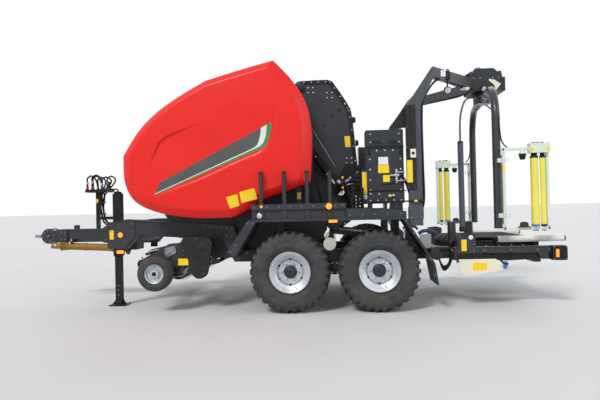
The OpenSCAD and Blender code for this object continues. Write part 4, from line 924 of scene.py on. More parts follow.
stake_x = (-825, -557, -294, -35)
rack_y = 1266
for name, side in both:
    rack = Piece(frame_grey, side).pad(-946, 146, 1262, 1198, 1258, rack_y, 14)
    rack.plate([(-940, 1204), (140, 1204), (140, 1197), (-940, 1197)], 1214, 1262)
    for x in stake_x:
        rack.lathe([(24.5, 0), (33, 1), (33, 7), (29, 10), (24.5, 14)], (x, 1238, 1259), 28, UP)
        rack.plate([(x - 26, 1090), (x + 26, 1090), (x + 26, 1199), (x - 26, 1199)], 1243, 1249)
    for x in (-690, -160, 300, 620):
        rack.pad(x - 8, x + 8, 1064, 1086, 760, 1264, 3)
    rack.plate([(-1236, 716), (-1152, 652), (-902, 1062), (-942, 1086), (-978, 1086)], 1260, rack_y, 16)
    rack.plate([(796, 1056), (824, 1056), (1128, 560), (1166, 318), (1152, 318), (1108, 556)], 1260, rack_y, 8)
    rack.plate([(152, 1088), (822, 1088), (822, 1100), (152, 1100)], 1256, 1268)
    rack.finish(f"rack_trim_{name}", "machine", "frame", bevel=1.6)
    caps = Piece(plastic, side)
    for x in stake_x:
        caps.lathe([(26, -26), (26, -1), (24, 3), (16, 6), (0.5, 7)], (x, 1238, 1636), 28, UP)
    caps.finish(f"stake_caps_{name}", "machine", "plastic", bevel=0.8)
    bolts = Piece(zinc, side)
    bolts.bolts(grid((-905, -760, -620, -490, -360, -225, -100, 20, 105), rack_y, (1230,)), 12)
    bolts.bolts(spots(rack_y, (-1195, 725), (-1130, 800), (-985, 1045), (-930, 1045), (820, 1040), (905, 900),
                      (1085, 610), (1130, 420)), 13)
    bolts.bolts(grid((190, 330, 470, 610, 760), rack_y, (1123,)), 12)
    bolts.finish(f"rack_bolts_{name}", "machine", "bare", bevel=0.7)
    lamps = Piece(black, side).lathe([(44, -2), (44, 18), (40, 24), (37, 24)], (-48, 1262, 1226), 36)
    lamps.pad(-62, 52, 1078, 1032, 1250, 1270, 9)
    lamps.use(amber_lamp).lathe([(37, 18), (35, 27), (24, 32), (0.5, 34)], (-48, 1262, 1226), 36)
    lamps.pad(-54, 44, 1071, 1039, 1262, 1278, 7)
    lamps.use(bright).lathe([(30, 0), (30, 6), (24, 9), (0.5, 10)], (-846, rack_y, 1130), 28)
    lamps.use(yellow_label).pad(-838, -808, 1252, 1222, rack_y, 1267.5, 5)
    lamps.pad(-430, -386, 1318, 1400, 902, 904, 5)
    lamps.use(frame_grey).pad(-440, -376, 1090, 1470, 860, 902, 12)
    lamps.finish(f"rack_lamps_{name}", "machine", "lamp", bevel=1.2)
    # Round speed sign on the chassis beam between the wheels, without its figures. Its white disc glows: painted
    # light that lifts it out of the shade under the beam.
    sign = Piece(frame_grey, side).box(-70, -36, 737, 753, 690, 860)
    sign.use(painted_glow_white).lathe([(82, 8), (82, 11), (0.5, 11.2)], (-53, 745, 761), 48)
    sign.use(cap_red).lathe([(82, 11), (82, 12), (78, 12), (78, 11)], (-53, 745, 761), 48, caps=False)
    sign.finish(f"speed_plate_{name}", "machine", "frame", bevel=1.0)


# Cabinets and their lids: how far out the panel's outer face and the label strip's lie

panel_y = 1101
strip_y = 1063
for name, side in both:
    front = Piece(dark_grey, side).pad(418, 812, 1262, 1880, 1095, panel_y, 24)
    front.use(black).plate([(398, 1884), (832, 1884), (832, 1916), (398, 1916)], 1088, 1104)
    for x in (430, 800):
        front.pad(x - 16, x + 16, 1810, 1874, 1100, 1112, 6)
    front.plate([(402, 1400), (850, 1396), (850, 1384), (402, 1388)], 1098, 1118)
    front.use(bright).bolts(grid((438, 522, 615, 708, 792), panel_y, (1280, 1860)), 10)
    front.bolts(grid((438, 792), panel_y, (1400, 1520, 1640, 1760)), 10)
    front.bolts(grid((440, 536), 1107, (1356,)), 10)
    front.use(dark_grey).pad(420, 790, 1380, 1290, 1100, 1107, 8)
    front.finish(f"cabinet_panel_{name}", "machine", "dark", bevel=2.5)
    marks = Piece(white_label, side).pad(537, 650, 1694, 1784, panel_y, panel_y + 1.2, 5)
    marks.pad(347, 401, 1300, 1352, strip_y, strip_y + 1.2, 4)
    marks.use(yellow_label).pad(532, 659, 1598, 1690, panel_y, panel_y + 1.2, 5)
    marks.pad(587, 666, 1493, 1573, panel_y, panel_y + 1.2, 5)
    marks.pad(347, 401, 1358, 1616, strip_y, strip_y + 1.2, 5)
    marks.use(frame_grey).pad(342, 400, 1262, 1640, 1050, strip_y, 6)
    marks.finish(f"cabinet_labels_{name}", "machine", "dark", bevel=0.8)
    lid = Piece(dark_grey, side).slab(rounded(398, 832, 1097, 768, 16), 2090, 2101)
    lid.pad(430, 800, 1940, 2070, 1094, panel_y, 18).use(black)
    for x in (520, 710):
        lid.tube([(x + dx, y, 1962) for dx, y in ((-40, 1098), (-40, 1122), (40, 1122), (40, 1098))], 6, 10)
    lid.use(bright).bolts(grid((450, 780), panel_y, (1958, 2052)), 9)
    lid.finish(f"cabinet_lid_trim_{name}", f"lid_{name}", "dark", bevel=3.0)

# Valve block on the left: sections, couplers and hoses
valve_rows = [1130 + 40 * i for i in range(6)]
valve = Piece(black, -1)
for z in range(1379, 1572, 48):
    valve.pad(222, 262, z - 11, z + 11, 1074, 836, 6)
for z in valve_rows:
    valve.pad(246, 338, z - 15, z + 15, 1056, 1046, 6)
valve.use(bright).bolts(grid((262, 322), 1056, valve_rows), 9)
for at in grid((262, 322), 1056, valve_rows):
    valve.lathe([(12, 0), (12, 12), (15, 12), (15, 30), (11, 32)], at, 6)
valve.finish("valve_sections", "machine", "black", bevel=1.0)
for i, z in enumerate(valve_rows):
    for j, (x, way) in enumerate(((262, -1), (322, 1))):
        line = Piece(hose_rubber, -1)
        line.hose([(x, 1084, z), (x + way * 8, 1112, z + 6), (x + way * 30, 1118, z + 50 + 6 * i),
                   (x - 30 + way * 20, 1080, z + 130), (x - 80, 1000 - 20 * i, 1400 + 14 * i),
                   (170 - 30 * j, 900 - 12 * i, 1440 + 16 * i), (90 - 30 * j, 800, 1410 + 26 * i),
                   (40 - 30 * j, 770, 1340 + 20 * i)], 8.5)
        line.finish(f"valve_hose_{i + 1}_{j + 1}", "machine", "rubber")
coupler = Piece(hose_rubber, -1)
for k in range(2):
    coupler.hose([(752, 1112, 1510 + 60 * k), (790, 1124, 1506 + 50 * k), (838, 1112, 1480 + 40 * k),
                  (862, 1090, 1420), (884, 1092, 1350)], 8)
coupler.hose([(742, 1112, 1500), (690, 1112, 1474), (620, 1108, 1466), (560, 1104, 1458)], 6)
coupler.use(bright).lathe([(12, 0), (12, 40), (17, 42), (17, 84), (22, 86), (22, 104), (10, 108)],
                          (664, 1122, 1566), 20, (1, 0, 0.02))
for z in (1500, 1600):
    coupler.hose([(742, 1104, z), (742, 1138, z), (820, 1140, z + 4), (836, 1104, z + 6)], 7, steps=4)
coupler.box(730, 752, 1116, 1101, 1480, 1640)
# Drain tap and the folding-over lever below the panel
coupler.lathe([(14, 0), (16, 6), (16, 18), (8, 24)], (702, 1107, 1334), 16)
coupler.use(yellow_label).plate([(646, 1350), (686, 1340), (686, 1326), (646, 1318)], 1118, 1107, 5)
coupler.tube([(930, 1167, 1263), (966, 1171, 1263)], 13, 14)
coupler.use(black).tube([(440, 1112, 1266), (1010, 1176, 1262)], 9)
coupler.use(plastic).lathe([(10, -22), (20, -12), (22, 0), (20, 12), (8, 22)],
                           (1022, 1178, 1262), 20, (1, 0.1, 0))
coupler.finish("cabinet_couplers", "machine", "bare")


# Chamber, tailgate and their lines

wall_y = 640
gate_edge = curve([(22, 2793), (203, 2511), (261, 2346), (310, 1794), (351, 1418), (290, 1120), (110, 960)], 6)
gate_inset = [(x - 46 + (0 if z > 1200 else 10), z - 24 + (0 if z > 1300 else 44)) for x, z in gate_edge]
gate_top = [(-380, 2806), (-200, 2811), (-40, 2812), (22, 2792), (4, 2752), (-60, 2764), (-380, 2760)]
bearing_places = ((-1080, 700), (-860, 660), (-560, 700), (-1560, 1200), (-1620, 1500), (-1560, 1820),
                  (-1360, 2120), (-1040, 2380))
gate_middle = [((a + c) / 2, (b + d) / 2) for (a, b), (c, d) in zip(gate_edge, gate_inset)]
for name, side in both:
    gate = Piece(black, side).plate(gate_edge + gate_inset[::-1], 638, 650)
    gate.plate(gate_top, 638, 649)
    # Black sheet over the lower part of the tailgate's side: painted shade where that part lies in shadow
    gate.plate([(98, 1650), (173, 1760), (300, 1757), (316, 1500), (290, 1180), (120, 1180)], 638, 645, 20)
    for x, z in ((12, 2359), (104, 2426), (-90, 2240)):
        gate.plate(link_outline((x - 16, z - 14), (x + 16, z + 14), 18), 638, 643)
    # Lugs and clips on the rear edge
    for x, z in ((266, 2300), (296, 2010), (322, 1700), (345, 1460)):
        gate.plate([(x, z + 40), (x + 38, z + 28), (x + 40, z - 28), (x + 2, z - 42)], 600, 636, 8)
        gate.tube([(x + 26, 585, z), (x + 26, 652, z)], 9)
    # Thin silver line along the bend of the tailgate's dark sheet: a painted highlight of the lit bend
    gate.use(silver).tube([(-240, 645, 2197), (39, 645, 1718)], 3.5, 8)
    gate.finish(f"tailgate_trim_{name}", "gate", "dark", bevel=3.0)
    bolts = Piece(bright, side).bolts(spots(650, *gate_middle[:-1:2]), 8)
    bolts.bolts(grid((-330, -240, -150, -60), 649, (2786,)), 8)
    for at in spots(wall_y, (-14, 2618), (-250, 2690), (215, 1790), (235, 1420), (105, 1095)):
        bolts.bolts(around(at, 44, range(45, 405, 90)), 9)
    bolts.finish(f"tailgate_bolts_{name}", "gate", "bare", bevel=0.7)
    marks = Piece(yellow_label, side)
    marks.plate([(170, 1960), (236, 1960), (230, 2096), (160, 2096)], wall_y, wall_y + 1.4, 6)
    marks.finish(f"tailgate_label_{name}", "gate", "dark")
    hinge = Piece(dark_grey, side)
    hinge.lathe([(52, 0), (52, 6), (44, 12), (30, 13), (28, 20), (0.5, 21)], (-380, 666, 2735), 36)
    hinge.lathe([(34, 0), (34, 6), (20, 8), (0.5, 8)], (-530, 666, 2690), 30)
    hinge.lathe([(30, 0), (30, 7), (22, 10), (0.5, 10)], (-550, 729, 2300), 30)
    hinge.finish(f"tailgate_hinge_{name}", "machine", "dark", bevel=1.0)
    eye = Piece(bright, side).lathe([(30, 0), (30, 7), (20, 9), (0.5, 9)], (100, 724, 1400), 28)
    eye.finish(f"ram_eye_{name}", "rods", "chrome", bevel=0.8)
    # Gland, ports and the pipe of each ram's barrel
    foot = Vector((-550, 688, 2300))
    way = (Vector((100, 688, 1400)) - foot).normalized()
    beside = Vector((0, 46, 0))
    barrel = Piece(black, side)
    barrel.lathe([(24.2, 812), (37, 812), (39, 806), (39, 772), (34.3, 768)], foot, 32, way, caps=False)
    for d in (70, 750):
        barrel.lathe([(12, 30), (12, 46), (15, 46), (15, 56), (10, 58)], foot + way * d, 12)
    barrel.use(bright).tube([foot + way * d + beside for d in (90, 400, 735)], 6, 10)
    for d in (250, 560):
        barrel.lathe([(34.4, 0), (37, 1), (37, 19), (34.4, 20)], foot + way * d, 32, way, caps=False)
    barrel.finish(f"ram_barrel_{name}", "barrels", "black", bevel=0.8)
    # Hoses and the coiled line that run down beside the left ram, and the gas spring with yellow ends
    if side < 0:
        bundle = Piece(hose_rubber, side)
        for k, r in enumerate((15, 15, 9)):
            bundle.hose([(-520 - 10 * k, 778, 2180 - 44 * k), (-246, 790, 1957 - 44 * k),
                         (-80, 792, 1748 - 48 * k), (70 + 14 * k, 796, 1566 - 40 * k),
                         (150 + 8 * k, 806, 1440 - 30 * k), (190, 820, 1330)], r, 12, 8)
        coil = []
        for k in range(190):
            t = k / 189
            across, along = math.cos(38 * math.pi * t), math.sin(38 * math.pi * t)
            coil.append((300 * t - 300 + 15 * across, 782 - 15 * along, 1800 - 350 * t + 6 * across))
        bundle.use(black).tube(coil, 4.5, 6)
        bundle.use(silver).lathe([(14, 0), (22, 6), (22, 46), (14, 52)], (60, 830, 1536), 20, (1, 0, -1.1))
        for z in range(1404, 1573, 42):
            bundle.lathe([(7, 0), (7, 84), (11, 86), (11, 104), (6, 108)], (226, 948, z), 14, (1, 0.15, 0.02))
        for at in spots(900, (158, 1520), (176, 1470), (200, 1552)):
            bundle.lathe([(12, 0), (17, 4), (17, 40), (11, 46)], at, 18, (0.8, 0.5, 0.3))
        bundle.use(plastic).lathe([(15, 0), (15, 92)], (119, 1010, 1456), 22, UP)
        bundle.use(yellow_label).tube([(119, 1010, 1440), (119, 930, 1436), (150, 870, 1420)], 6, 10)
        for z in (1430, 1548):
            bundle.lathe([(9, 0), (12, 4), (12, 22), (7, 28)], (119, 1010, z), 16, UP)
        bundle.finish("chamber_bundle", "machine", "rubber", bevel=0.6)
    # Bearings of the chamber's rollers on the fixed walls
    hubs = Piece(black, side)
    for x, z in bearing_places:
        hubs.lathe([(66, -2), (66, 6), (56, 12), (30, 14), (28, 22), (0.5, 22)], (x, wall_y, z), 30)
        hubs.bolts(around((x, 646, z), 52, range(45, 405, 90)), 9)
    hubs.finish(f"roller_bearings_{name}", "machine", "black", bevel=1.0)
    lines = Piece(hose_rubber, side)
    for k in range(3):
        start = (-300 - 18 * k, 775, 1640)
        lines.hose([start, (-330 - 20 * k, 775, 1900), (-420 - 10 * k, 770, 2140),
                    (-560, 764 + 12 * k, 2240 + 20 * k), (-640, 740, 2330 + 20 * k),
                    (-700, 690, 2400 + 20 * k), (-720, 636, 2440 + 20 * k)], 8)
        lines.hose([start, (-290 - 16 * k, 775, 1400), (-250 - 12 * k, 775, 1200), (-160, 780, 1112),
                    (60, 790, 1104 + 6 * k), (220, 830, 1110)], 8)
    lines.finish(f"chamber_lines_{name}", "machine", "rubber")


# Arch with its guards, hoses and lights

def beam_face(x):
    """How far out the outer face of the arch's slanted beam lies."""
    return 1081 - 1.2713 * (x - 1195)


for name, side in both:
    # Rounded corner plates on the column, and on the knee up to the beam
    arch = Piece(arch_grey, side).pad(872, 1038, 1050, 1200, 1050, 1150, 16)
    arch.plate([(876, 2300), (1034, 2300), (1040, 2400), (1120, 2560), (1060, 2590), (900, 2430)],
               1050, 1150, 20)
    arch.finish(f"arch_plates_{name}", "machine", "steel", bevel=3.0)
    ties = Piece(zinc, side).bolts(grid((895, 1015), 1150, (1075, 1175)), 14)
    ties.bolts(grid((866, 948), 1166, (1420, 1640, 1880, 2120, 2340)), 7)
    ties.finish(f"arch_ties_{name}", "machine", "black", bevel=1.0)
    lines = Piece(hose_rubber, side)
    for k in range(4):
        x = 1044 + 4 * (k % 2)
        y = 1066 + 22 * k
        lines.hose([(1000, 900 + 20 * k, 1090), (x, y, 1250), (x, y, 1700), (x, y, 2250),
                    (1100, 1050 - 12 * k, 2480), (1262 + 4 * k, 965 - 20 * k, 2700), (1500, 640 - 14 * k, 2712),
                    (1800, 240 - 12 * k, 2716), (1900, 150 - 12 * k, 2790)], 9)
    lines.finish(f"arch_lines_{name}", "machine", "rubber")
    marks = Piece(yellow_label, side).pad(856, 920, 1478, 1734, 1166, 1168.4, 6)
    marks.use(cream).pad(898, 962, 1762, 1862, 1160, 1176, 10)
    marks.use(black).lathe([(17, 0), (17, 3), (12, 3), (10, 1)], (930, 1176, 1812), 20)
    marks.use(white_label).pad(1296, 1352, 2716, 2790, 1012, 1016, 5)
    marks.finish(f"arch_labels_{name}", "machine", "steel")
    cover = Piece(plastic, side).pad(852, 963, 1400, 2366, 1160, 1167, 22)
    cover.finish(f"arch_guard_skin_{name}", "machine", "plastic", bevel=3.0)
    # Lifting link on the beam, and on the left a small lamp box on its slanted face and a work light
    work = Piece(black, side)
    link = [(1425 + 24 * math.cos(t), 2782 + 68 * math.sin(t)) for t in [math.pi * k / 9 for k in range(19)]]
    work.tube([(x, beam_face(x) + 14, z) for x, z in link], 7, 10)
    if side < 0:
        at, way = (1430, 722, 2612), (0.1, 1, -0.3)
        work.tube([(1430, 722, 2716), at], 9, 10).lathe([(30, -30), (46, -14), (48, 14), (43, 16)], at, 28, way)
        work.use(cream).plate([(1690, 2716), (1777, 2712), (1775, 2676), (1664, 2680)], 350, 388)
        work.use(clear_lamp).lathe([(42, 12), (36, 19), (0.5, 21)], at, 28, way)
    work.finish(f"work_light_{name}", "machine", "lamp", bevel=0.8)

head = Piece(dark_grey)
hood_line = corner_round([(-222, 2700), (222, 2700), (222, 2890), (180, 2962), (-180, 2962), (-222, 2890)], 24)
for ends in ((1846, 1872), (2216, 2244)):
    head.shell([[(x, y, z) for y, z in hood_line] for x in ends])
head.plate([(1858, 2898), (2236, 2898), (2140, 2986), (1902, 2986)], -212, 212, 16)
head.finish("wrap_head_casing", "machine", "dark", bevel=5.0)
motor = Piece(black)
motor.lathe([(86, 0), (86, 26), (70, 30), (70, 74), (58, 78), (58, 92), (50, 96), (0.5, 96)],
            (wrap_x, 0, 2880), 36, UP)
crest = [(2069, 2843), (2142, 2828), (2222, 2771), (2155, 2686), (2136, 2761), (2069, 2818)]
for side in (-1, 1):
    motor.side = side
    motor.use(cream).plate(crest, 200, 234, 8)
    motor.use(bright).bolts(grid((1880, 1960, 2120, 2200), 220, (2860,)), 7)
    motor.tube([(1930, 120, 2982), (1930, 120, 3018), (1990, 120, 3018), (1990, 120, 2982)], 8, 10)
motor.bolts([(x, y, 2650) for x, y in arc((wrap_x, 0), 104, 20, 335, 7)], 11, (0, 0, -1))
motor.use(hose_rubber)
for y in (-110, -40, 30, 100):
    motor.hose([(1846, y, 2780), (1800, y, 2830), (1780, y * 0.9, 2900), (1850, y * 0.8, 2950),
                (1960, y * 0.6, 2990), (2010, y * 0.4, 2966)], 9)
motor.finish("wrap_head_motor", "machine", "dark", bevel=1.0)
shine = Piece(black)
shine_way = (0.3, 0.8, -0.6)
for side in (-1, 1):
    shine.side = side
    shine.use(black).tube([(1990, 246, 2750), (1990, 252, 2716)], 8, 10)
    shine.lathe([(26, -26), (40, -12), (42, 12), (38, 14)], (1990, 252, 2716), 26, shine_way)
    shine.use(clear_lamp).lathe([(37, 10), (32, 16), (0.5, 18)], (1990, 252, 2716), 26, shine_way)
shine.finish("wrap_head_lights", "machine", "lamp", bevel=0.8)


# Wrapping bow with its stop arms and dispensers, placed from the wrapping axis as the left arm stands

AWAY = (0, -1, 0)
# The bow's own tube stands a little behind its dispenser
bow_lag = -7
bow_path = [(0, -60, 2600)] + [(0, y, z) for y, z in arc((-665, 2200), 400, 90, 180, 22)]
bow_path += [(0, -1065, 1500), (0, -1065, 926)]
cone_x, roller_x, roller_y = 130, (258, 350), -1152
film_rings = 26
for name, turn in (("left", 0), ("right", 180)):
    bow = Piece(bow_grey, turn=turn + bow_lag).tube(bow_path, 46.6, 32)
    for z in (926, 1040, 1110, 1670, 1740, 2180):
        bow.lathe([(46, 0), (50, 1), (50, 15), (46, 16)], (0, -1065, z), 32, UP, caps=False)
    bow.lathe([(46, -8), (49, -6), (49, -3), (0.5, -2)], (0, -1065, 926), 32, (0, 0, -1))
    for y in (-228, -444):
        bow.lathe([(46, 0), (51, 1), (51, 25), (46, 26)], (0, y, 2600), 32, AWAY, caps=False)
    bow.turn = turn
    bow.use(bright).bolts(grid((-40, -75), -1185, (1062, 1088, 1692, 1718)), 9, AWAY)
    bow.finish(f"bow_{name}", "wrap_arm", "steel", bevel=0.8)
    stop = Piece(arch_grey, turn=turn)
    stop.lathe([(31.5, 1000), (33, 998), (33, 20), (31.5, 0)], (-540, -1060, 920), 28, UP, caps=False)
    stop.use(plastic).lathe([(36, 0), (38, 6), (38, 54), (34, 62), (31.5, 62)], (-540, -1060, 896), 28, UP)
    stop.lathe([(31.5, -10), (33.5, -9), (33.5, 10), (30, 14), (13, 16)], (-540, -1060, 1930), 28, UP)
    stop.finish(f"stop_arm_{name}", "wrap_arm", "steel", bevel=0.8)
    line = Piece(hose_rubber, turn=turn)
    route = [(-30, -100, 2632), (-60, -400, 2652), (-70, -700, 2630), (-90, -960, 2500), (-110, -1090, 2250),
             (-90, -1110, 1950), (-40, -1150, 1850)]
    line.hose(route, 8)
    line.finish(f"bow_line_{name}", "wrap_arm", "rubber")

    # Film dispenser: rounded frame, gearbox cover, cones and spindle caps
    rim = Piece(pale_green, turn=turn)
    for z0, z1 in ((908, 940), (1812, 1844)):
        rim.slab(rounded(-98, 416, -1168, -1136, 8), z0, z1)
    for x0, x1 in ((-98, -68), (386, 416)):
        rim.slab(rounded(x0, x1, -1168, -1136, 8), 912, 1840)
    rim.finish(f"dispenser_frame_{name}", "wrap_arm", "pale", bevel=1.6)
    box = Piece(pale_green, turn=turn)
    lid = rounded(196, 418, -1214, -1104, 26)
    lid_top = shrink(lid, (307, -1159), 0.03)
    box.shell([[(x, y, z) for x, y in ring] for ring, z in ((lid, 1776), (lid, 1842), (lid_top, 1850))])
    box.use(yellow_label)
    for x0, x1 in ((200, 238), (378, 414)):
        corners = ((x0, 1792), (x1, 1792), (x1, 1834), (x0, 1834))
        box.faces([box.place(*p) for p in spots(-1214.6, *corners)], [(0, 1, 2, 3)])
    box.use(black)
    for x, r in zip(roller_x, (34, 26)):
        box.lathe([(r, 0), (r, 26), (r - 6, 30), (12.5, 30)], (x, roller_y, 1746), 30, UP)
        box.lathe([(r, 0), (r, 5), (r - 4, 8), (14, 9)], (x, roller_y, 905), 24, (0, 0, -1))
    for x, r in ((258, 22), (350, 18), (300, 14)):
        box.lathe([(r, 0), (r, 10), (r - 5, 14), (0.5, 14)], (x, roller_y, 1886), 24, UP)
    box.use(bright).bolts([(x, y, 1888) for x in (215, 400) for y in (-1200, -1118)], 8, UP)
    box.bolts(grid((-84, 402), -1168, (950, 1790)), 9, AWAY)
    box.finish(f"dispenser_box_{name}", "wrap_arm", "pale", bevel=1.2)
    cone = Piece(plastic, turn=turn)
    cone.lathe([(22, -62), (30, -54), (41, -6), (44, 0), (44, 4), (12, 6), (12, 60)],
               (cone_x, roller_y, 1768), 32, UP)
    cone.lathe([(78, 0), (78, 6), (52, 10), (48, 24), (30, 56), (24, 60), (0.5, 61)],
               (cone_x, roller_y, 938), 36, UP)
    for x, y in arc((cone_x, roller_y), 42, 0, 300, 5):
        cone.lathe([(5, 8), (4, 54)], (x, y, 938), 8, UP)
    cone.finish(f"reel_cones_{name}", "wrap_arm", "pale", bevel=1.0)
    label = Piece(yellow_label, turn=turn)
    corners = spots(-1169, (-96, 1560), (-70, 1560), (-70, 1640), (-96, 1640))
    label.faces([label.place(*p) for p in corners], [(0, 1, 2, 3)])
    label.finish(f"dispenser_label_{name}", "wrap_arm", "pale")
    for size, x, r, end_look in zip(("big", "small"), roller_x, (44, 30), (end_blue, plastic)):
        roller = Piece(film_yellow, turn=turn)
        at = (x, roller_y, 950)
        profile = [(12.2, 0), (r - 3, 0)]
        for k in range(film_rings):
            z = 14 + k * 762 / (film_rings - 1)
            profile += [(r + 0.1, z - 12), (r + 0.6, z - 9), (r + 0.6, z + 9), (r + 0.1, z + 12)]
        roller.lathe(profile + [(r - 3, 790), (12.2, 790)], at, 36, UP, caps=False)
        for z, look in ((-4, end_look), (770, plastic)):
            ends = [(12.2, z), (r + 1.5, z), (r + 1.5, z + 24), (12.2, z + 24)]
            roller.use(look).lathe(ends, at, 36, UP, caps=False)
        roller.finish(f"film_roller_{name}_{size}_sleeve", f"roller_{name}_{size}", "film")


# Rear frame, table, fork and lamps: how far out the film guard's and the lamp box's faces lie

guard_y = 1032
lamp_y = 1064
drum_x = (1560, 2400)
drum_z = 715
for name, side in both:
    rear = Piece(frame_grey, side).pad(1400, 2522, 712, 702, 934, 1014, 3)
    for x in (1700, 2000, 2300):
        rear.pad(x, x + 90, 642, 703, 1008, 1016, 8)
    rear.plate([(2350, 640), (2400, 562), (2478, 562), (2478, 640)], 990, 1012)
    rear.use(zinc).bolts(spots(1027, (1458, 846), (1622, 742), (1622, 668)), 10)
    rear.bolts(grid((1745, 2045, 2345, 2480), 1016, (672,)), 12)
    rear.finish(f"rear_frame_trim_{name}", "machine", "frame", bevel=1.4)

    # Film guard: sheet bent under the beam, with a blank yellow label
    guard = Piece(cream, side).plate([(1446, 566), (1875, 566), (1941, 437), (1468, 373)], 1026, guard_y, 10)
    guard.shell([[(1446, y, 566), (1875, y, 566), (1875, y - 4, 572), (1446, y - 4, 572)]
                 for y in (guard_y, 960)])
    guard.use(yellow_label)
    guard.plate([(1604, 532), (1764, 532), (1762, 444), (1602, 440)], guard_y, guard_y + 1.4, 6)
    guard.use(black).plate([(1430, 640), (1640, 640), (1900, 610), (1880, 566), (1440, 566)], 1014, 1026, 8)
    guard.plate([(1660, 640), (1700, 575), (2000, 545), (2330, 560), (2478, 600), (2478, 640)], 975, 984)
    guard.use(bright).bolts(spots(guard_y, (1470, 546), (1850, 546), (1486, 400), (1900, 446)), 8)
    guard.finish(f"film_guard_{name}", "machine", "pale", bevel=1.0,
                 replaces=("film_guards",) if side < 0 else ())

    # Film knife's ram behind the guard, with its hose and the blue grip
    knife = Piece(black, side)
    knife.hose([(1840, 985, 640), (1880, 1000, 610), (1925, 1006, 560), (1962, 1008, 520)], 13, 14, 5)
    grip, grip_way = (1990, 1008, 540), (-0.15, 0, -1)
    knife.lathe([(29, 18), (30, 22), (30, 34), (29, 38)], grip, 24, grip_way, caps=False)
    knife.use(end_blue).lathe([(16, 0), (24, 8), (26, 60), (20, 84), (8, 90)], grip, 24, grip_way)
    knife.finish(f"film_knife_{name}", "machine", "bare", bevel=1.0)

    # Plate at the beam's front end with its label, the round reflector and the drum of the film's clamp
    post = Piece(frame_grey, side)
    post.plate([(1440, 864), (1560, 880), (1640, 860), (1640, 700), (1440, 700)], 1022, 1027, 16)
    post.use(yellow_label).pad(1480, 1540, 801, 668, 1027, 1028.6, 6)
    post.use(white_label).lathe([(26, 0), (26, 5), (20, 8), (0.5, 9)], (1590, 1027, 826), 28)
    drum = [(78, 0), (82, 6), (82, 60), (74, 70), (30, 74), (28, 84), (0.5, 85)]
    post.use(dark_grey).lathe(drum, (1227, 800, 633), 36)
    post.use(white_paint).plate([(1040, 862), (1178, 862), (1174, 690), (1060, 690)], 740, 780, 10)
    for z in (735, 790, 830):
        post.plate([(1040, z), (1176, z), (1176, z - 5), (1040, z - 5)], 779, 783)
    post.use(navy)
    for k in range(3):
        y = 740 + 20 * k
        post.hose([(1030, y, 870), (1090, y, 905 - 6 * k), (1200, y, 900 - 6 * k), (1250, y, 850)], 15, 12, 5)
    post.use(hose_rubber)
    for k in range(4):
        post.hose([(1250 + 20 * k, 884 + 6 * k, 660), (1310 + 16 * k, 890 + 8 * k, 700),
                   (1370 + 10 * k, 885 + 8 * k, 640 - 10 * k), (1360, 880, 520 - 14 * k),
                   (1300, 860, 480 - 16 * k), (1262, 790, 560)], 9)
    post.finish(f"beam_head_{name}", "machine", "frame", bevel=1.4)

    # Lamp box: housing, amber, red and clear lenses and the rear reflector
    box = Piece(black, side).pad(2504, 2668, 714, 548, 936, lamp_y, 12)
    box.use(red_lamp).pad(2532, 2578, 680, 580, 1062, 1067, 8)
    box.use(amber_lamp).pad(2540, 2570, 674, 586, lamp_y, 1070, 6)
    for colour, low, high in ((red_lamp, 560, 602), (clear_lamp, 610, 650), (amber_lamp, 658, 702)):
        lens = rounded(950, 1050, low, high, 8)
        box.use(colour).shell([[(x, y, z) for y, z in lens] for x in (2664, 2674)])
    box.use(bright).bolts(grid((2516, 2656), lamp_y, (560, 702)), 6)
    box.finish(f"lamp_box_{name}", "machine", "lamp", bevel=1.4, replaces=("lamps",) if side < 0 else ())

    roller = Piece(white_paint, side)
    along, foot = (1, 0, 0), (1950, 800, 785)
    sleeve = [(20, 8), (36, 8), (37.5, 11), (37.5, 380), (36.5, 384), (37.5, 388), (37.5, 779), (36, 782), (20, 782)]
    roller.lathe(sleeve, foot, 40, along, caps=False)
    roller.use(black).lathe([(18, -6), (30, -6), (34, 2), (34, 12), (18, 12)], foot, 30, along, caps=False)
    roller.lathe([(18, 778), (34, 778), (34, 794), (24, 802), (18, 802)], foot, 30, along, caps=False)
    roller.finish(f"side_roller_{name}", "table", "pale", bevel=0.8)

    plates = Piece(black, side)
    plates.plate([(1488, 690), (1506, 661), (2374, 646), (2474, 646), (2474, 756), (1506, 756)], 698, 704, 10)
    for x in drum_x:
        plates.lathe([(52, 0), (52, 8), (44, 12), (24, 13), (22, 20), (0.5, 20)], (x, 703, drum_z), 30)
    plates.use(bright).bolts(grid((1700, 1850, 2000, 2150, 2290), 704, (700,)), 11)
    for x in drum_x:
        plates.bolts(around((x, 711, drum_z), 37, range(45, 405, 90)), 8)
    plates.use(steel).lathe([(30, 0), (30, 6), (20, 9), (0.5, 9)], (2440, 745, 610), 26)
    plates.use(dark_grey)
    for x in (1453, 1660) if side < 0 else ():
        plates.lathe([(20, 0), (50, 4), (50, 222), (46, 230), (20, 234), (0.5, 234)], (x, 640, 772), 32, UP)
    plates.finish(f"table_plates_{name}", "table", "black", bevel=1.2)

belts = Piece(belt_rubber)
for y in (-450, -150, 150, 450):
    for k in range(26):
        x = 1575 + k * 32.4
        belts.box(x, x + 9, y - 126, y + 126, 797.5, 801.5)
    for turn in range(12):
        a = math.radians(-90 + 15 * turn + 8)
        corners = ((82.5, a), (86.5, a), (86.5, a + 0.09), (82.5, a + 0.09))
        for x, way in zip(drum_x, (-1, 1)):
            rib = [(x + way * r * math.cos(t), drum_z + r * math.sin(t)) for r, t in corners]
            belts.plate(rib, y - 126, y + 126)
belts.finish("belt_ribs", "table", "rubber", bevel=0.6)

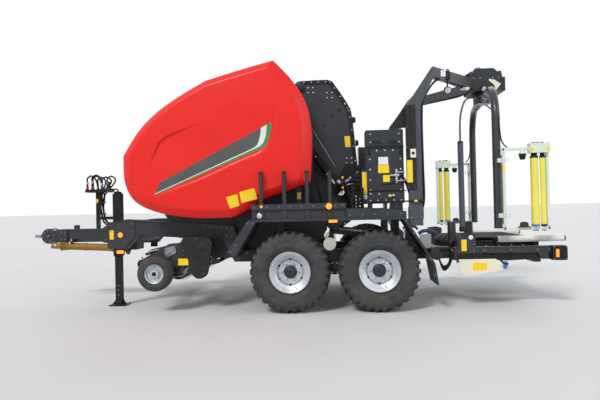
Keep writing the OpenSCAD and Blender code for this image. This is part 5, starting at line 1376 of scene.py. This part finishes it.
tray = Piece(frame_grey)
for y in (-610, 610):
    tray.plate([(-22, 880), (762, 795), (762, 852), (-22, 937)], y - 6, y + 6)
for x in range(60, 691, 105):
    z = 915 - (x + 20) * 0.109
    tray.tube([(x, -600, z), (x, 600, z)], 9, 10)
tray.use(bright).bolts([(-52, y, 900) for y in range(-560, 561, 280)], 12, (-1, 0, 0))
tray.finish("ramp_ribs", "machine", "frame", bevel=1.0)
fork = Piece(frame_grey)
for y in (-440, 440):
    fork.hose([(812, y, 800), (850, y, 772), (925, y, 722), (1100, y, 690), (1300, y, 655)], 16, 14, 5)
    fork.lathe([(48, -42), (48, 42)], (1330, y, 640), 30)
fork.finish("fork_bars", "fork", "frame", bevel=1.2)

# Sheet, rails, handle and blank label of the front hood
hood = Piece(plastic)
hood.shell([[(x, -594, z), (x, 594, z), (x - 4, 594, z), (x - 4, -594, z)]
            for x, z in ((-2468, 1362), (-2471, 1600), (-2471, 1850))])
hood.use(black)
for z in (1400, 1800):
    hood.tube([(-2470, -520, z), (-2470, 520, z)], 9, 10)
hood.tube([(-2470, -90, 1500), (-2500, -90, 1500), (-2500, 90, 1500), (-2470, 90, 1500)], 8, 10)
corners = ((-330, 1640), (-180, 1640), (-180, 1730), (-330, 1730))
hood.use(white_label).shell([[(x, y, z) for y, z in corners] for x in (-2474, -2476)])
hood.finish("hood_trim", "hood", "plastic", bevel=1.0)
gear = Piece(dark_grey)
gear.lathe([(96, 0), (96, 18), (84, 24), (58, 26), (56, 60), (44, 64)], (-2862, 0, 710), 36, (-1, 0, 0))
for z in (760, 850, 940, 1030):
    gear.box(-2866, -2694, -156, 156, z - 5, z + 5)
gear.use(bright).bolts([(-2880, y, z) for y, z in arc((0, 710), 76, 0, 300, 5)], 10, (-1, 0, 0))
gear.finish("gearbox_ribs", "machine", "dark", bevel=1.5)
shaft = Piece(steel).tube([(-2700, -40, 900), (-2100, -300, 880), (-1760, -560, 850)], 24, 20)
shaft.lathe([(30, 0), (40, 6), (40, 60), (30, 66)], (-2690, -44, 899), 24, (1, -0.43, -0.03))
shaft.finish("side_drive", "machine", "bare", bevel=1.0)


# Setting: floor, sky, lights and the camera

floor_shader = Shader("floor")
floor_tone = floor_shader.mix(floor_shader.noise(1.3, detail=6), srgb(222, 222, 222), srgb(228, 228, 228))
bpy.ops.mesh.primitive_plane_add(size=400, location=(0, 0, 0))
floor = bpy.context.object
floor.name = "floor"
floor.data.materials.append(floor_shader.surface({"Base Color": floor_tone, "Roughness": 0.8}))

scene = bpy.context.scene
world = bpy.data.worlds.new("studio")
scene.world = world
world.use_nodes = True
tree = world.node_tree
soft = tree.nodes["Background"]
soft.inputs["Color"].default_value = (0.90, 0.94, 1.0, 1)
soft.inputs["Strength"].default_value = 0.5
white = tree.nodes.new("ShaderNodeBackground")
white.inputs["Color"].default_value = (1, 1, 1, 1)
white.inputs["Strength"].default_value = 1.0
rays = tree.nodes.new("ShaderNodeLightPath")
share = rays.outputs["Is Camera Ray"]
for kind in ("Is Glossy Ray", "Is Transmission Ray"):
    either = tree.nodes.new("ShaderNodeMath")
    either.operation = "MAXIMUM"
    tree.links.new(share, either.inputs[0])
    tree.links.new(rays.outputs[kind], either.inputs[1])
    share = either.outputs[0]
mix = tree.nodes.new("ShaderNodeMixShader")
tree.links.new(share, mix.inputs["Fac"])
tree.links.new(soft.outputs[0], mix.inputs[1])
tree.links.new(white.outputs[0], mix.inputs[2])
tree.links.new(mix.outputs[0], tree.nodes["World Output"].inputs["Surface"])


def sunlight(name, place, energy, angle, colour):
    """A broad soft lamp so far off that it lights everything evenly, shining from a place to the middle."""
    data = bpy.data.lights.new(name, "SUN")
    data.energy = energy
    data.angle = math.radians(angle)
    data.color = colour
    light = bpy.data.objects.new(name, data)
    scene.collection.objects.link(light)
    light.location = place
    light.rotation_euler = (-Vector(place)).to_track_quat("-Z", "Y").to_euler()


sunlight("key", (-4.0, -8.0, 8.0), 1.75, 14, (1, 0.97, 0.93))
sunlight("fill", (8.0, -7.0, 3.5), 0.45, 40, (0.93, 0.96, 1))
sunlight("back", (2.0, 9.0, 6.0), 0.5, 40, (0.95, 0.98, 1))

# The camera as it was fitted to the photo: focal length and image width in pixels, place in metres
focal_px, width_px = 551, 600
camera_y, camera_z = -7.55, 1.23
camera_data = bpy.data.cameras.new("camera")
camera_data.sensor_width = 36
camera_data.lens = 36 * focal_px / width_px
camera = bpy.data.objects.new("camera", camera_data)
scene.collection.objects.link(camera)
yaw = math.atan(33 / focal_px)
pitch = math.atan(6.5 / focal_px)
roll = math.radians(1.3)
ahead = Vector((-math.sin(yaw) * math.cos(pitch), math.cos(yaw) * math.cos(pitch), math.sin(pitch)))
level = Vector((math.cos(yaw), math.sin(yaw), 0))
upright = level.cross(ahead)
right = level * math.cos(roll) - upright * math.sin(roll)
up = upright * math.cos(roll) + level * math.sin(roll)
camera.matrix_world = Matrix((
    (right.x, up.x, -ahead.x, tandem_x), (right.y, up.y, -ahead.y, camera_y),
    (right.z, up.z, -ahead.z, camera_z), (0, 0, 0, 1)
))
scene.camera = camera
scene.view_settings.view_transform = "Standard"
